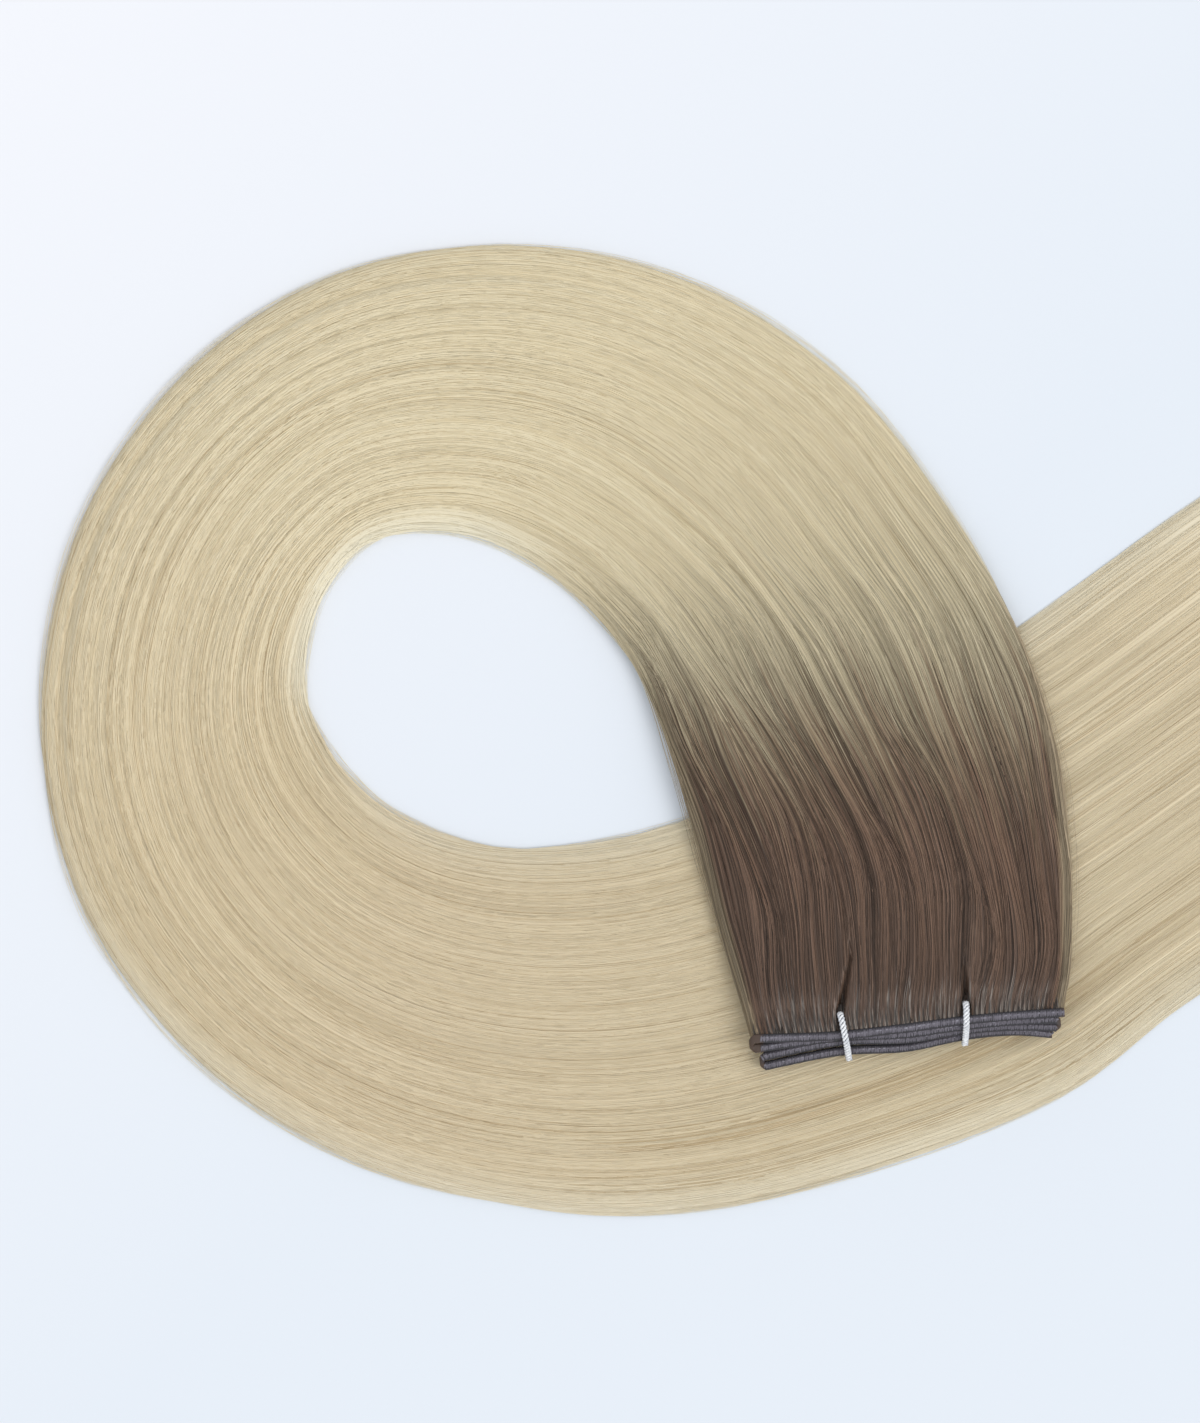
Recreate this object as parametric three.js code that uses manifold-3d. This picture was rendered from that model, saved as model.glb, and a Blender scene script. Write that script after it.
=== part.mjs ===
// Hair weft: one sewn band folded in four and tied twice, with its hair laid round in a loose loop.
// Millimetres, +Z up, lying on z = 0. The origin is the middle of the footprint.

import * as THREE from "three";
import { mergeVertices } from "three/addons/utils/BufferGeometryUtils.js";
import Module from "manifold-3d";

const wasm = await Module();
wasm.setup();

const { lerp, smoothstep, degToRad } = THREE.MathUtils;

// Hair
const HAIR_AREA = 190; // square millimetres across the flow, fluffed as the hair lies
const EDGE_SHARE = 0.3; // thickness at the two edges, as a share of the middle
const ROOT_EDGE_SHARE = 0.95; // the same beside the band, where the stitching holds it square
const DOME_POWER = 4; // how flat the top stays between its edges
const ROOT_EASES_BY = 0.1; // share of the length in which the four curtains settle into one mat
const THINS_FROM = 0.6; // share of the length at which the shorter hairs start to end
const TIP_THINNING = 0.5; // share of the hair that has ended at the tips
const UNDERSIDE_INSET = 0.015; // share of the width by which the underside is narrower

// Locks
const LOCK_COUNT = 11;
const LOCK_GROOVE = 0.5; // depth of the furrow between two locks
const LOCK_SWAY = 0.22; // sideways sway of a furrow, in lock widths
const SWAYS_ALONG = 2.3; // sways along the whole length
const PHASE_STEP = 0.618; // of a turn, from one lock to the next
const TIP_START = 0.91; // share of the length at which the locks part into free tips
const TIP_END = 0.975; // where the shortest tip ends; the longest ends at 1
const TIP_SEAT = 0.02; // share of the length by which a tip reaches back into the mat
const TIP_SLENDERNESS = 0.9; // width of a tip where it leaves the mat, in lock widths
const TIP_POINT = 0.12; // share of its width and thickness left at the very end
const TIP_LIFT = 0.02; // height of a tip's underside, just inside the mat's

// Sewn band
const LAYER_COUNT = 4;
const BAND_HEIGHT = 1.7;
const BAND_THICKNESS = 0.9;
const STITCH_RIDGE = 0.1; // how far the two rows of stitching stand proud of the band's faces
const LAYER_GAP = 0.25;
const LAYER_PITCH = BAND_THICKNESS + LAYER_GAP;
const BAND_UNDERSIDE = 4.3; // above the floor, over the hair and the thread that pass below
const BAND_TOP = BAND_UNDERSIDE + LAYER_PITCH * LAYER_COUNT - LAYER_GAP;
const ROOT_COVER = 0.3; // depth of hair over the top curtain where it joins the mat
const ROOT_THICKNESS = BAND_TOP - BAND_UNDERSIDE + ROOT_COVER;
const BAND_TILT = degToRad(5.4);
const BAND_MIDDLE = [58.4, -59.0]; // middle of the band's upper edge
const MAT_START = 1.2; // height above the band at which the four curtains join in one mat
const CURTAIN_END = 4; // height above the band at which a curtain ends inside the mat

// Tying thread
const THREAD_WIDTH = 1.6;
const THREAD_THICKNESS = 0.8;
const PARTING_TAPER = 0.3; // width left at the top of the parting that a thread makes in the hair

const GAP = 0.3; // between pieces that touch

// Where the hair lies, a row for each section across its flow, from the band to the tips.
// inner is the edge towards the eye of the loop, and lift is the height of the underside.
const SECTIONS = [
  { inner: [28.5, -61.8], outer: [88.4, -56.1], lift: 4.3 },
  { inner: [24.3, -47.2], outer: [89.1, -44.4], lift: 3.6 },
  { inner: [19.2, -28.6], outer: [88.9, -26.3], lift: 3.3 },
  { inner: [14.4, -11.1], outer: [86.1, -5.8], lift: 3.1 },
  { inner: [7.8, 6.4], outer: [78.3, 17.0], lift: 2.1 },
  { inner: [-2.7, 20.6], outer: [65.7, 38.9], lift: 0.8 },
  { inner: [-14.8, 29.5], outer: [46.0, 63.2], lift: 0 },
  { inner: [-26.2, 33.9], outer: [17.1, 81.4], lift: 0 },
  { inner: [-36.9, 34.1], outer: [-16.7, 88.4], lift: 0 },
  { inner: [-46.0, 30.7], outer: [-49.8, 82.9], lift: 0 },
  { inner: [-52.3, 22.7], outer: [-77.9, 64.9], lift: 0 },
  { inner: [-55.3, 14.0], outer: [-97.7, 37.3], lift: 0 },
  { inner: [-56.1, 5.0], outer: [-105.8, 4.1], lift: 0 },
  { inner: [-53.8, -3.1], outer: [-102.6, -24.8], lift: 0 },
  { inner: [-48.5, -11.5], outer: [-90.8, -49.5], lift: 0 },
  { inner: [-39.5, -19.3], outer: [-69.9, -71.5], lift: 0 },
  { inner: [-27.0, -24.6], outer: [-40.9, -87.3], lift: 0 },
  { inner: [-11.4, -26.3], outer: [-7.6, -94.7], lift: 0 },
  { inner: [7.6, -24.0], outer: [24.3, -93.2], lift: 0 },
  { inner: [27.6, -16.8], outer: [58.0, -84.1], lift: 0 },
  { inner: [47.5, -5.8], outer: [88.4, -71.9], lift: 0 },
  { inner: [65.6, 6.0], outer: [110.2, -56.0], lift: 0 },
  { inner: [83.6, 17.8], outer: [128.3, -43.0], lift: 0 },
  { inner: [101.7, 30.9], outer: [145.4, -30.1], lift: 0 },
  { inner: [120.5, 44.0], outer: [161.7, -14.5], lift: 0 },
  { inner: [141.0, 58.0], outer: [179.0, 2.5], lift: 0 },
];

// The folded band's layers from the top one down. left and right are their ends along the band,
// and drop is how far the upper edge lies below the band's middle line at each of DROP_AT.
const DROP_AT = [-30, -13, -1, 11, 20, 30];
const LAYERS = [
  { left: -30.5, right: 29.2, drop: [-0.95, -0.05, -0.26, -0.68, -0.65, -0.4] },
  { left: -30.5, right: 28.5, drop: [1.0, 0.35, 0.85, 0.4, 0.4, 1.0] },
  { left: -28.8, right: 28.5, drop: [2.9, 1.2, 1.95, 1.3, 1.5, 2.7] },
  { left: -28.8, right: 26.7, drop: [4.8, 3.15, 3.6, 2.4, 2.5, 4.3] },
];

// The two threads. at and foot are places along the band where a thread leaves the hair and where it
// turns under the band, reach is how far above the band it leaves the hair, and partingTop is the top
// of the gap that it makes there, along the band and above it.
const TIES = [
  { name: "tie_left", at: -12.9, foot: -11.9, reach: 3.4, partingTop: [-9.6, 13.0] },
  { name: "tie_right", at: 10.9, foot: 10.2, reach: 3.2, partingTop: [11.4, 11.0] },
];

const materials = {
  hair: new THREE.MeshStandardMaterial({ color: 0xd6c49c, roughness: 0.45, metalness: 0 }),
  band: new THREE.MeshStandardMaterial({ color: 0x55525a, roughness: 0.7, metalness: 0 }),
  thread: new THREE.MeshStandardMaterial({ color: 0xeef0f2, roughness: 0.6, metalness: 0 }),
};

// Solids

// Triangles over a section, turned the way its outline runs
function cap(outline) {
  const faces = THREE.ShapeUtils.triangulateShape(outline, []);
  return THREE.ShapeUtils.isClockWise(outline) ? faces.map((face) => face.toReversed()) : faces;
}

// A closed body through rings of equal length, capped at both ends.
// flatten gives a ring's points in the plane of its section.
function loft(rings, flatten) {
  const count = rings[0].length;
  const lastRing = (rings.length - 1) * count;
  const index = [];
  for (let start = 0; start < lastRing; start += count) {
    for (let corner = 0; corner < count; corner++) {
      const a = start + corner;
      const b = start + ((corner + 1) % count);
      index.push(a, b, b + count, a, b + count, a + count);
    }
  }
  for (const [a, b, c] of cap(flatten(rings[0]))) index.push(a, c, b);
  for (const [a, b, c] of cap(flatten(rings.at(-1)))) index.push(a + lastRing, b + lastRing, c + lastRing);
  return new THREE.BufferGeometry().setFromPoints(rings.flat()).setIndex(index);
}

function toSolid(geometry) {
  geometry.deleteAttribute("normal");
  geometry.deleteAttribute("uv");
  const merged = mergeVertices(geometry);
  const mesh = (triVerts) =>
    new wasm.Mesh({ numProp: 3, vertProperties: merged.attributes.position.array, triVerts });
  const triangles = new Uint32Array(merged.index.array);
  const solid = new wasm.Manifold(mesh(triangles));
  return solid.volume() > 0 ? solid : new wasm.Manifold(mesh(triangles.reverse()));
}

function toGeometry(solid) {
  const { vertProperties, triVerts } = solid.getMesh();
  return new THREE.BufferGeometry()
    .setAttribute("position", new THREE.BufferAttribute(vertProperties, 3))
    .setIndex(new THREE.BufferAttribute(triVerts, 1));
}

const range = (count) => [...Array(count).keys()];

// Flow of the hair: v runs from the band (0) to the tips (1), u from the inner edge (0) to the outer (1)

const edgeCurve = (side) =>
  new THREE.CatmullRomCurve3(
    SECTIONS.map((section) => new THREE.Vector3(...section[side], section.lift)),
    false,
    "catmullrom",
  );
const innerEdge = edgeCurve("inner");
const outerEdge = edgeCurve("outer");

function flowPoint(v, u, rise) {
  const point = innerEdge.getPoint(v).lerp(outerEdge.getPoint(v), u);
  point.z = Math.max(0, point.z) + rise;
  return point;
}

const settled = (v) => smoothstep(v, 0, ROOT_EASES_BY);
const edgeShare = (v) => lerp(ROOT_EDGE_SHARE, EDGE_SHARE, settled(v));

function thicknessAt(v) {
  const width = innerEdge.getPoint(v).distanceTo(outerEdge.getPoint(v));
  const meanShare = EDGE_SHARE + ((1 - EDGE_SHARE) * DOME_POWER) / (DOME_POWER + 1);
  const left = 1 - TIP_THINNING * smoothstep(v, THINS_FROM, 1);
  return lerp(ROOT_THICKNESS, (HAIR_AREA * left) / (meanShare * width), settled(v));
}

function domeRise(v, u) {
  const dome = 1 - Math.abs(2 * u - 1) ** DOME_POWER;
  return thicknessAt(v) * lerp(edgeShare(v), 1, dome);
}

// Share of the width at which lock number k starts
function furrow(k, v) {
  const inside = k > 0 && k < LOCK_COUNT;
  const sway = inside ? LOCK_SWAY * Math.sin(2 * Math.PI * (SWAYS_ALONG * v + PHASE_STEP * k)) : 0;
  return (k + sway) / LOCK_COUNT;
}

// Hair: a mat whose top is furrowed into locks
const MAT_RINGS = 54;
const LOCK_STEPS = [0, 1 / 3, 2 / 3]; // across one lock; the first is the furrow

function matRing(v) {
  const ring = [];
  for (const k of range(LOCK_COUNT)) {
    for (const step of LOCK_STEPS) {
      const u = lerp(furrow(k, v), furrow(k + 1, v), step);
      const groove = step === 0 && k > 0 ? LOCK_GROOVE * settled(v) : 0;
      ring.push(flowPoint(v, u, domeRise(v, u) - groove));
    }
  }
  ring.push(flowPoint(v, 1, domeRise(v, 1)));
  ring.push(flowPoint(v, 1 - UNDERSIDE_INSET, 0));
  ring.push(flowPoint(v, UNDERSIDE_INSET, 0));
  return ring;
}

// A section's points as distance from its first point and height
const flattenSection = (ring) =>
  ring.map((p) => new THREE.Vector2(Math.hypot(p.x - ring[0].x, p.y - ring[0].y), p.z));

function hairMat() {
  const sectionStep = 1 / (SECTIONS.length - 1);
  const stepLength = flowPoint(0, 0.5, 0).distanceTo(flowPoint(sectionStep, 0.5, 0));
  const start = (sectionStep * MAT_START) / stepLength;
  const rings = range(MAT_RINGS).map((i) => matRing(lerp(start, TIP_START, i / (MAT_RINGS - 1))));
  return loft(rings, flattenSection);
}

// One free tip: a lens that narrows from its lock to a point
const TIP_RINGS = 6;
const LENS = [
  { across: -1, up: 0.3 },
  { across: -0.5, up: 0.9 },
  { across: 0.5, up: 0.9 },
  { across: 1, up: 0.3 },
  { across: 0.8, up: 0 },
  { across: -0.8, up: 0 },
];

function tip(k) {
  const start = TIP_START - TIP_SEAT;
  const longest = Math.abs(Math.sin(2 * Math.PI * PHASE_STEP * (k + 1)));
  const end = lerp(TIP_END, 1, longest);
  const middle = (furrow(k, TIP_START) + furrow(k + 1, TIP_START)) / 2;
  const halfWidth = (furrow(k + 1, TIP_START) - furrow(k, TIP_START)) / 2;
  const thickness = domeRise(TIP_START, middle) - LOCK_GROOVE;
  const rings = range(TIP_RINGS).map((i) => {
    const along = i / (TIP_RINGS - 1);
    const left = Math.max(TIP_POINT, 1 - along ** 2);
    return LENS.map(({ across, up }) =>
      flowPoint(
        lerp(start, end, along),
        middle + across * halfWidth * TIP_SLENDERNESS * left,
        TIP_LIFT + up * thickness * left,
      ),
    );
  });
  return loft(rings, flattenSection);
}

// Sewn band, in its own frame: x along the band, y up the hair from the band's upper edge, z up

const layerMiddle = (k) => BAND_TOP - BAND_THICKNESS / 2 - k * LAYER_PITCH;
const dropAt = (k, x) => new THREE.CubicInterpolant(DROP_AT, LAYERS[k].drop, 1).evaluate(x)[0];

// The band's section: height down from its upper edge, and share of half the thickness.
// Two rows of stitching stand proud on each face.
const BAND_PROFILE = [
  { down: 0.05, out: 0.5 },
  { down: 0.2, out: 1 },
  { down: 0.45, out: 1 },
  { down: 0.55, out: 1 - (2 * STITCH_RIDGE) / BAND_THICKNESS },
  { down: BAND_HEIGHT - 0.6, out: 1 - (2 * STITCH_RIDGE) / BAND_THICKNESS },
  { down: BAND_HEIGHT - 0.5, out: 1 },
  { down: BAND_HEIGHT - 0.25, out: 1 },
  { down: BAND_HEIGHT, out: 0.5 },
];
const BAND_OUTLINE = [
  ...BAND_PROFILE,
  ...BAND_PROFILE.toReversed().map(({ down, out }) => ({ down, out: -out })),
];
const LAYER_STEPS = 21;
const FOLD_STEPS = 4;

// Path of the folded band: place along it, height, drop, and the turn of its face from upwards
function bandPath() {
  const foldRadius = LAYER_PITCH / 2;
  const foldReach = foldRadius + BAND_THICKNESS / 2;
  const path = [];
  LAYERS.forEach((layer, k) => {
    const leftward = k % 2 === 0;
    const isLast = k === LAYER_COUNT - 1;
    const isFreeAtRight = k === 0 || isLast;
    const left = layer.left + foldReach;
    const right = isFreeAtRight ? layer.right : layer.right - foldReach;
    const [from, to] = leftward ? [right, left] : [left, right];
    for (const i of range(LAYER_STEPS)) {
      const x = lerp(from, to, i / (LAYER_STEPS - 1));
      path.push({ x, z: layerMiddle(k), drop: dropAt(k, x), turn: leftward ? 0 : Math.PI });
    }
    if (isLast) return;
    const sense = leftward ? 1 : -1;
    for (let i = 1; i < FOLD_STEPS; i++) {
      const angle = (Math.PI * i) / FOLD_STEPS;
      path.push({
        x: to - sense * foldRadius * Math.sin(angle),
        z: layerMiddle(k) - foldRadius * (1 - Math.cos(angle)),
        drop: lerp(dropAt(k, to), dropAt(k + 1, to), i / FOLD_STEPS),
        turn: leftward ? angle : Math.PI - angle,
      });
    }
  });
  return path;
}

function bandGeometry() {
  const rings = bandPath().map(({ x, z, drop, turn }) =>
    BAND_OUTLINE.map(({ down, out }) => {
      const offset = (out * BAND_THICKNESS) / 2;
      return new THREE.Vector3(x - offset * Math.sin(turn), -drop - down, z + offset * Math.cos(turn));
    }),
  );
  const flatten = () => BAND_OUTLINE.map(({ down, out }) => new THREE.Vector2(down, out));
  return toGeometry(toSolid(loft(rings, flatten)));
}

// The curtain of hair that leaves one layer of the band and runs into the mat
const CURTAIN_STEPS = 21;
const CURTAIN_INSET = 1.4; // from the layer's ends, clear of the folds

function curtain(k) {
  const rings = range(CURTAIN_STEPS).map((i) => {
    const { left, right } = LAYERS[k];
    const x = lerp(left + CURTAIN_INSET, right - CURTAIN_INSET, i / (CURTAIN_STEPS - 1));
    const low = GAP - dropAt(k, x);
    const bottom = layerMiddle(k) - BAND_THICKNESS / 2;
    const top = layerMiddle(k) + BAND_THICKNESS / 2;
    return [
      [low, bottom],
      [CURTAIN_END, bottom],
      [CURTAIN_END, top],
      [low, top],
    ].map(([y, z]) => new THREE.Vector3(x, y, z));
  });
  return loft(rings, (ring) => ring.map((p) => new THREE.Vector2(p.y, p.z)));
}

// The parting that a thread makes where it comes up through the hair
function parting({ at, reach, partingTop }) {
  const half = THREAD_WIDTH / 2 + GAP;
  const foot = -BAND_HEIGHT * LAYER_COUNT;
  const outline = new THREE.Shape();
  outline.moveTo(at - half, foot);
  outline.lineTo(at + half, foot);
  outline.lineTo(at + half, reach + half);
  outline.lineTo(partingTop[0] + PARTING_TAPER / 2, partingTop[1]);
  outline.lineTo(partingTop[0] - PARTING_TAPER / 2, partingTop[1]);
  outline.lineTo(at - half, reach + half);
  const floor = BAND_UNDERSIDE - 2 * GAP - THREAD_THICKNESS;
  return new THREE.ExtrudeGeometry(outline, { depth: BAND_TOP, bevelEnabled: false }).translate(0, 0, floor);
}

// A thread's closed loop round the folded band, leaning from at to foot
const THREAD_STEPS = 44;
const THREAD_SIDES = 8;

function tieGeometry({ at, foot, reach }) {
  const clear = GAP + THREAD_THICKNESS / 2;
  const lowest = dropAt(LAYER_COUNT - 1, at) + BAND_HEIGHT + clear;
  const topEdge = dropAt(0, at) + BAND_HEIGHT;
  const high = BAND_TOP + clear;
  const low = BAND_UNDERSIDE - clear;
  const route = [
    { y: reach, z: (high + low) / 2 },
    { y: reach - clear, z: high - clear / 4 },
    { y: 0, z: high + clear / 4 },
    { y: -topEdge - clear / 2, z: high - clear / 4 },
    { y: -lowest + clear / 4, z: layerMiddle(LAYER_COUNT - 1) + clear },
    { y: -lowest, z: layerMiddle(LAYER_COUNT - 1) },
    { y: -lowest + clear, z: low },
    { y: 0, z: low },
    { y: reach - clear, z: low },
  ];
  const loop = new THREE.CatmullRomCurve3(
    route.map(({ y, z }) => new THREE.Vector3(0, y, z)),
    true,
  );
  const geometry = new THREE.TubeGeometry(loop, THREAD_STEPS, THREAD_THICKNESS / 2, THREAD_SIDES, true);
  geometry.scale(THREAD_WIDTH / THREAD_THICKNESS, 1, 1);
  const lean = (foot - at) / (reach + lowest);
  geometry.applyMatrix4(new THREE.Matrix4().makeShear(0, 0, -lean, 0, 0, 0));
  geometry.translate(at + lean * reach, 0, 0);
  return toGeometry(toSolid(geometry));
}

// Assembly

const weft = new THREE.Group();
weft.position.set(...BAND_MIDDLE, 0);
weft.rotation.z = BAND_TILT;
weft.updateMatrix();

function hairGeometry() {
  let hair = toSolid(hairMat());
  for (const k of range(LOCK_COUNT)) hair = hair.add(toSolid(tip(k)));
  for (const k of range(LAYER_COUNT)) hair = hair.add(toSolid(curtain(k).applyMatrix4(weft.matrix)));
  for (const tie of TIES) hair = hair.subtract(toSolid(parting(tie).applyMatrix4(weft.matrix)));
  return toGeometry(hair);
}

function piece(name, geometry, material) {
  geometry.computeVertexNormals();
  const mesh = new THREE.Mesh(geometry, material);
  mesh.name = name;
  return mesh;
}

const laid = new THREE.Group();
laid.add(piece("hair", hairGeometry(), materials.hair));
laid.add(weft);
weft.add(piece("weft_band", bandGeometry(), materials.band));
for (const tie of TIES) weft.add(piece(tie.name, tieGeometry(tie), materials.thread));

const footprint = new THREE.Box3().setFromObject(laid, true).getCenter(new THREE.Vector3());
laid.position.set(-footprint.x, -footprint.y, 0);

const hairWeft = new THREE.Group();
hairWeft.add(laid);

export default hairWeft;
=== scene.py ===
"""A hair weft: fine strands over the laid hair, a stitched band folded in four, and two tying threads."""

import math
from collections import namedtuple

import bpy
import numpy as np
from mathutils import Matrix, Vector


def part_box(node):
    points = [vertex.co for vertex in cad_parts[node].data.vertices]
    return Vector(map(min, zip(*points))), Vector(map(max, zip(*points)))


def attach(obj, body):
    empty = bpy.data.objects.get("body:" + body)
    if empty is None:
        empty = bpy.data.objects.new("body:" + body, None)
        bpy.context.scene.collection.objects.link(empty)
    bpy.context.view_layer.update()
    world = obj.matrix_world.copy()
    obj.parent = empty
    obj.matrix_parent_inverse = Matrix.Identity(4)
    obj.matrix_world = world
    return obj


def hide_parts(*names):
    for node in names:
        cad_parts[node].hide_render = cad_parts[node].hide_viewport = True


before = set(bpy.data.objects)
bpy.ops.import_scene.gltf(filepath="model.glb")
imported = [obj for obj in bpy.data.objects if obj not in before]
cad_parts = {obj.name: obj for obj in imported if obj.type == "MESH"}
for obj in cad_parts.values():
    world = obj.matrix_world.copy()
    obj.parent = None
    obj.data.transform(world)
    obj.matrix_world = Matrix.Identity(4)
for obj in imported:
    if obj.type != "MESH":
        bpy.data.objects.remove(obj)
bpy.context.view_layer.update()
SCENE = bpy.context.scene
MM = 0.001
TURN = 2 * math.pi

# Photo's frame
PHOTO_HEIGHT = 1423
MM_PER_PIXEL = 0.19
LENS = 135
SENSOR = 36

# Hair, in millimetres, as in the solid
HAIR_AREA = 190
EDGE_SHARE = 0.3
ROOT_EDGE_SHARE = 0.95
DOME_POWER = 4
ROOT_EASES_BY = 0.1
THINS_FROM = 0.6
TIP_THINNING = 0.5

# Locks
LOCK_COUNT = 11
LOCK_GROOVE = 0.22
LOCK_SWAY = 0.22
SWAYS_ALONG = 2.3
PHASE_STEP = 0.618
TIP_START = 0.91

# Band
BAND_HEIGHT = 1.7
BAND_THICKNESS = 0.9
LAYER_GAP = 0.25
LAYER_PITCH = BAND_THICKNESS + LAYER_GAP
LAYER_COUNT = 4
BAND_UNDERSIDE = 4.3
BAND_TOP = BAND_UNDERSIDE + LAYER_PITCH * LAYER_COUNT - LAYER_GAP
BAND_TILT = math.radians(5.4)
BAND_MIDDLE = (58.4, -59.0)
ROOT_COVER = 0.3
COMB_TEETH = 70  # stitches across the folded band

# Tying thread
THREAD_WIDTH = 1.3
THREAD_THICKNESS = 0.8
THREAD_CLEAR = 0.7

# Where the hair lies, a row for each section across its flow, from the band to the tips
Section = namedtuple("Section", "inner_x inner_y outer_x outer_y lift")
SECTIONS = [
    Section(28.5, -61.8, 88.4, -56.1, 4.3),
    Section(24.3, -47.2, 89.1, -44.4, 3.6),
    Section(19.2, -28.6, 88.9, -26.3, 3.3),
    Section(14.4, -11.1, 86.1, -5.8, 3.1),
    Section(7.8, 6.4, 78.3, 17.0, 2.1),
    Section(-2.7, 20.6, 65.7, 38.9, 0.8),
    Section(-14.8, 29.5, 46.0, 63.2, 0),
    Section(-26.2, 33.9, 17.1, 81.4, 0),
    Section(-36.9, 34.1, -16.7, 88.4, 0),
    Section(-46.0, 30.7, -49.8, 82.9, 0),
    Section(-52.3, 22.7, -77.9, 64.9, 0),
    Section(-55.3, 14.0, -97.7, 37.3, 0),
    Section(-56.1, 5.0, -105.8, 4.1, 0),
    Section(-53.8, -3.1, -102.6, -24.8, 0),
    Section(-48.5, -11.5, -90.8, -49.5, 0),
    Section(-39.5, -19.3, -69.9, -71.5, 0),
    Section(-27.0, -24.6, -40.9, -87.3, 0),
    Section(-11.4, -26.3, -7.6, -94.7, 0),
    Section(7.6, -24.0, 24.3, -93.2, 0),
    Section(27.6, -16.8, 58.0, -84.1, 0),
    Section(47.5, -5.8, 88.4, -71.9, 0),
    Section(65.6, 6.0, 110.2, -56.0, 0),
    Section(83.6, 17.8, 128.3, -43.0, 0),
    Section(101.7, 30.9, 145.4, -30.1, 0),
    Section(120.5, 44.0, 161.7, -14.5, 0),
    Section(141.0, 58.0, 179.0, 2.5, 0),
]

# The band's layers from the top one down, with the drop of the upper edge at each of DROP_AT
DROP_AT = (-30, -13, -1, 11, 20, 30)
Layer = namedtuple("Layer", "left right drops")
LAYERS = [
    Layer(-30.5, 29.2, (-0.95, -0.05, -0.26, -0.68, -0.65, -0.4)),
    Layer(-30.5, 28.5, (1.0, 0.35, 0.85, 0.4, 0.4, 1.0)),
    Layer(-28.8, 28.5, (2.9, 1.2, 1.95, 1.3, 1.5, 2.7)),
    Layer(-28.8, 26.7, (4.8, 3.15, 3.6, 2.4, 2.5, 4.3)),
]

# The threads: where each leaves the hair and turns under the band, and the top of its parting
Tie = namedtuple("Tie", "name at foot reach parting_x parting_y fade")
TIES = [
    Tie("tie_left", -12.9, -11.9, 3.4, -10.0, 13.0, 2.2),
    Tie("tie_right", 10.9, 10.2, 3.2, 11.4, 11.0, 1.6),
]

# Stretches of the hair's length: where each begins, is full, starts to end, and ends
Stretch = namedtuple("Stretch", "begins full leaves ends")
FAR_SIDE = Stretch(0.26, 0.34, 0.46, 0.58)
PAST_BAND = Stretch(0.66, 0.73, 0.82, 0.9)
BROWN_ENDS = Stretch(0.02, 0.06, 0.2, 0.34)
SWAYING = Stretch(0, 0.05, 0.14, 0.34)
STANDING = Stretch(0, 0.07, 0.07, 0.16)
SWEEPING = Stretch(0.03, 0.2, 0.3, 0.65)
LOOP_EYE = Stretch(0.2, 0.27, 0.46, 0.56)


# Shapes of the flow

def smoothstep(value, low, high):
    share = np.clip((value - low) / (high - low), 0, 1)
    return share * share * (3 - 2 * share)


def within(value, stretch):
    """1 inside a stretch of the length, eased to 0 at both ends."""
    entered = smoothstep(value, stretch.begins, stretch.full)
    return entered * (1 - smoothstep(value, stretch.leaves, stretch.ends))


def spline(points, along):
    """The smooth curve through points, at shares of its sections."""
    points = np.asarray(points, float)
    padded = np.vstack([2 * points[0] - points[1], points, 2 * points[-1] - points[-2]])
    place = np.clip(along, 0, 1) * (len(points) - 1)
    first = np.minimum(place.astype(int), len(points) - 2)
    part = (place - first)[..., None]
    before, start, end, after = (padded[first + step] for step in range(4))
    leave = (end - before) / 2
    arrive = (after - start) / 2
    return (
        (2 * start - 2 * end + leave + arrive) * part**3
        + (3 * end - 3 * start - 2 * leave - arrive) * part**2
        + leave * part
        + start
    )


def flow_edges(along):
    inner = spline([(s.inner_x, s.inner_y, s.lift) for s in SECTIONS], along)
    outer = spline([(s.outer_x, s.outer_y, s.lift) for s in SECTIONS], along)
    return inner, outer


def thickness_at(along, width):
    settled = smoothstep(along, 0, ROOT_EASES_BY)
    mean_share = EDGE_SHARE + (1 - EDGE_SHARE) * DOME_POWER / (DOME_POWER + 1)
    left = 1 - TIP_THINNING * smoothstep(along, THINS_FROM, 1)
    root = BAND_TOP - BAND_UNDERSIDE + ROOT_COVER
    return root + (HAIR_AREA * left / (mean_share * width) - root) * settled


FURROW_WIDTH = 0.19  # in lock widths
FURROW_UNEVEN = 0.6  # mean share of the groove's depth, and its swing about that
UNEVEN_ALONG = 1.7
UNEVEN_STEP = 2.4 * PHASE_STEP
ROOT_FURROWS = 0.3  # how much deeper the furrows are where the brown ends
RIM_FURROW = 2.4  # how much deeper the outermost furrow is at the loop's far side
TAIL_FURROW = 1.8  # how much deeper the next one is in the tail, past the band
TAIL_FLATNESS = 0.5  # how much shallower the others are in the tail
TAIL_FLATTENS = (0.5, 0.65)


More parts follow.
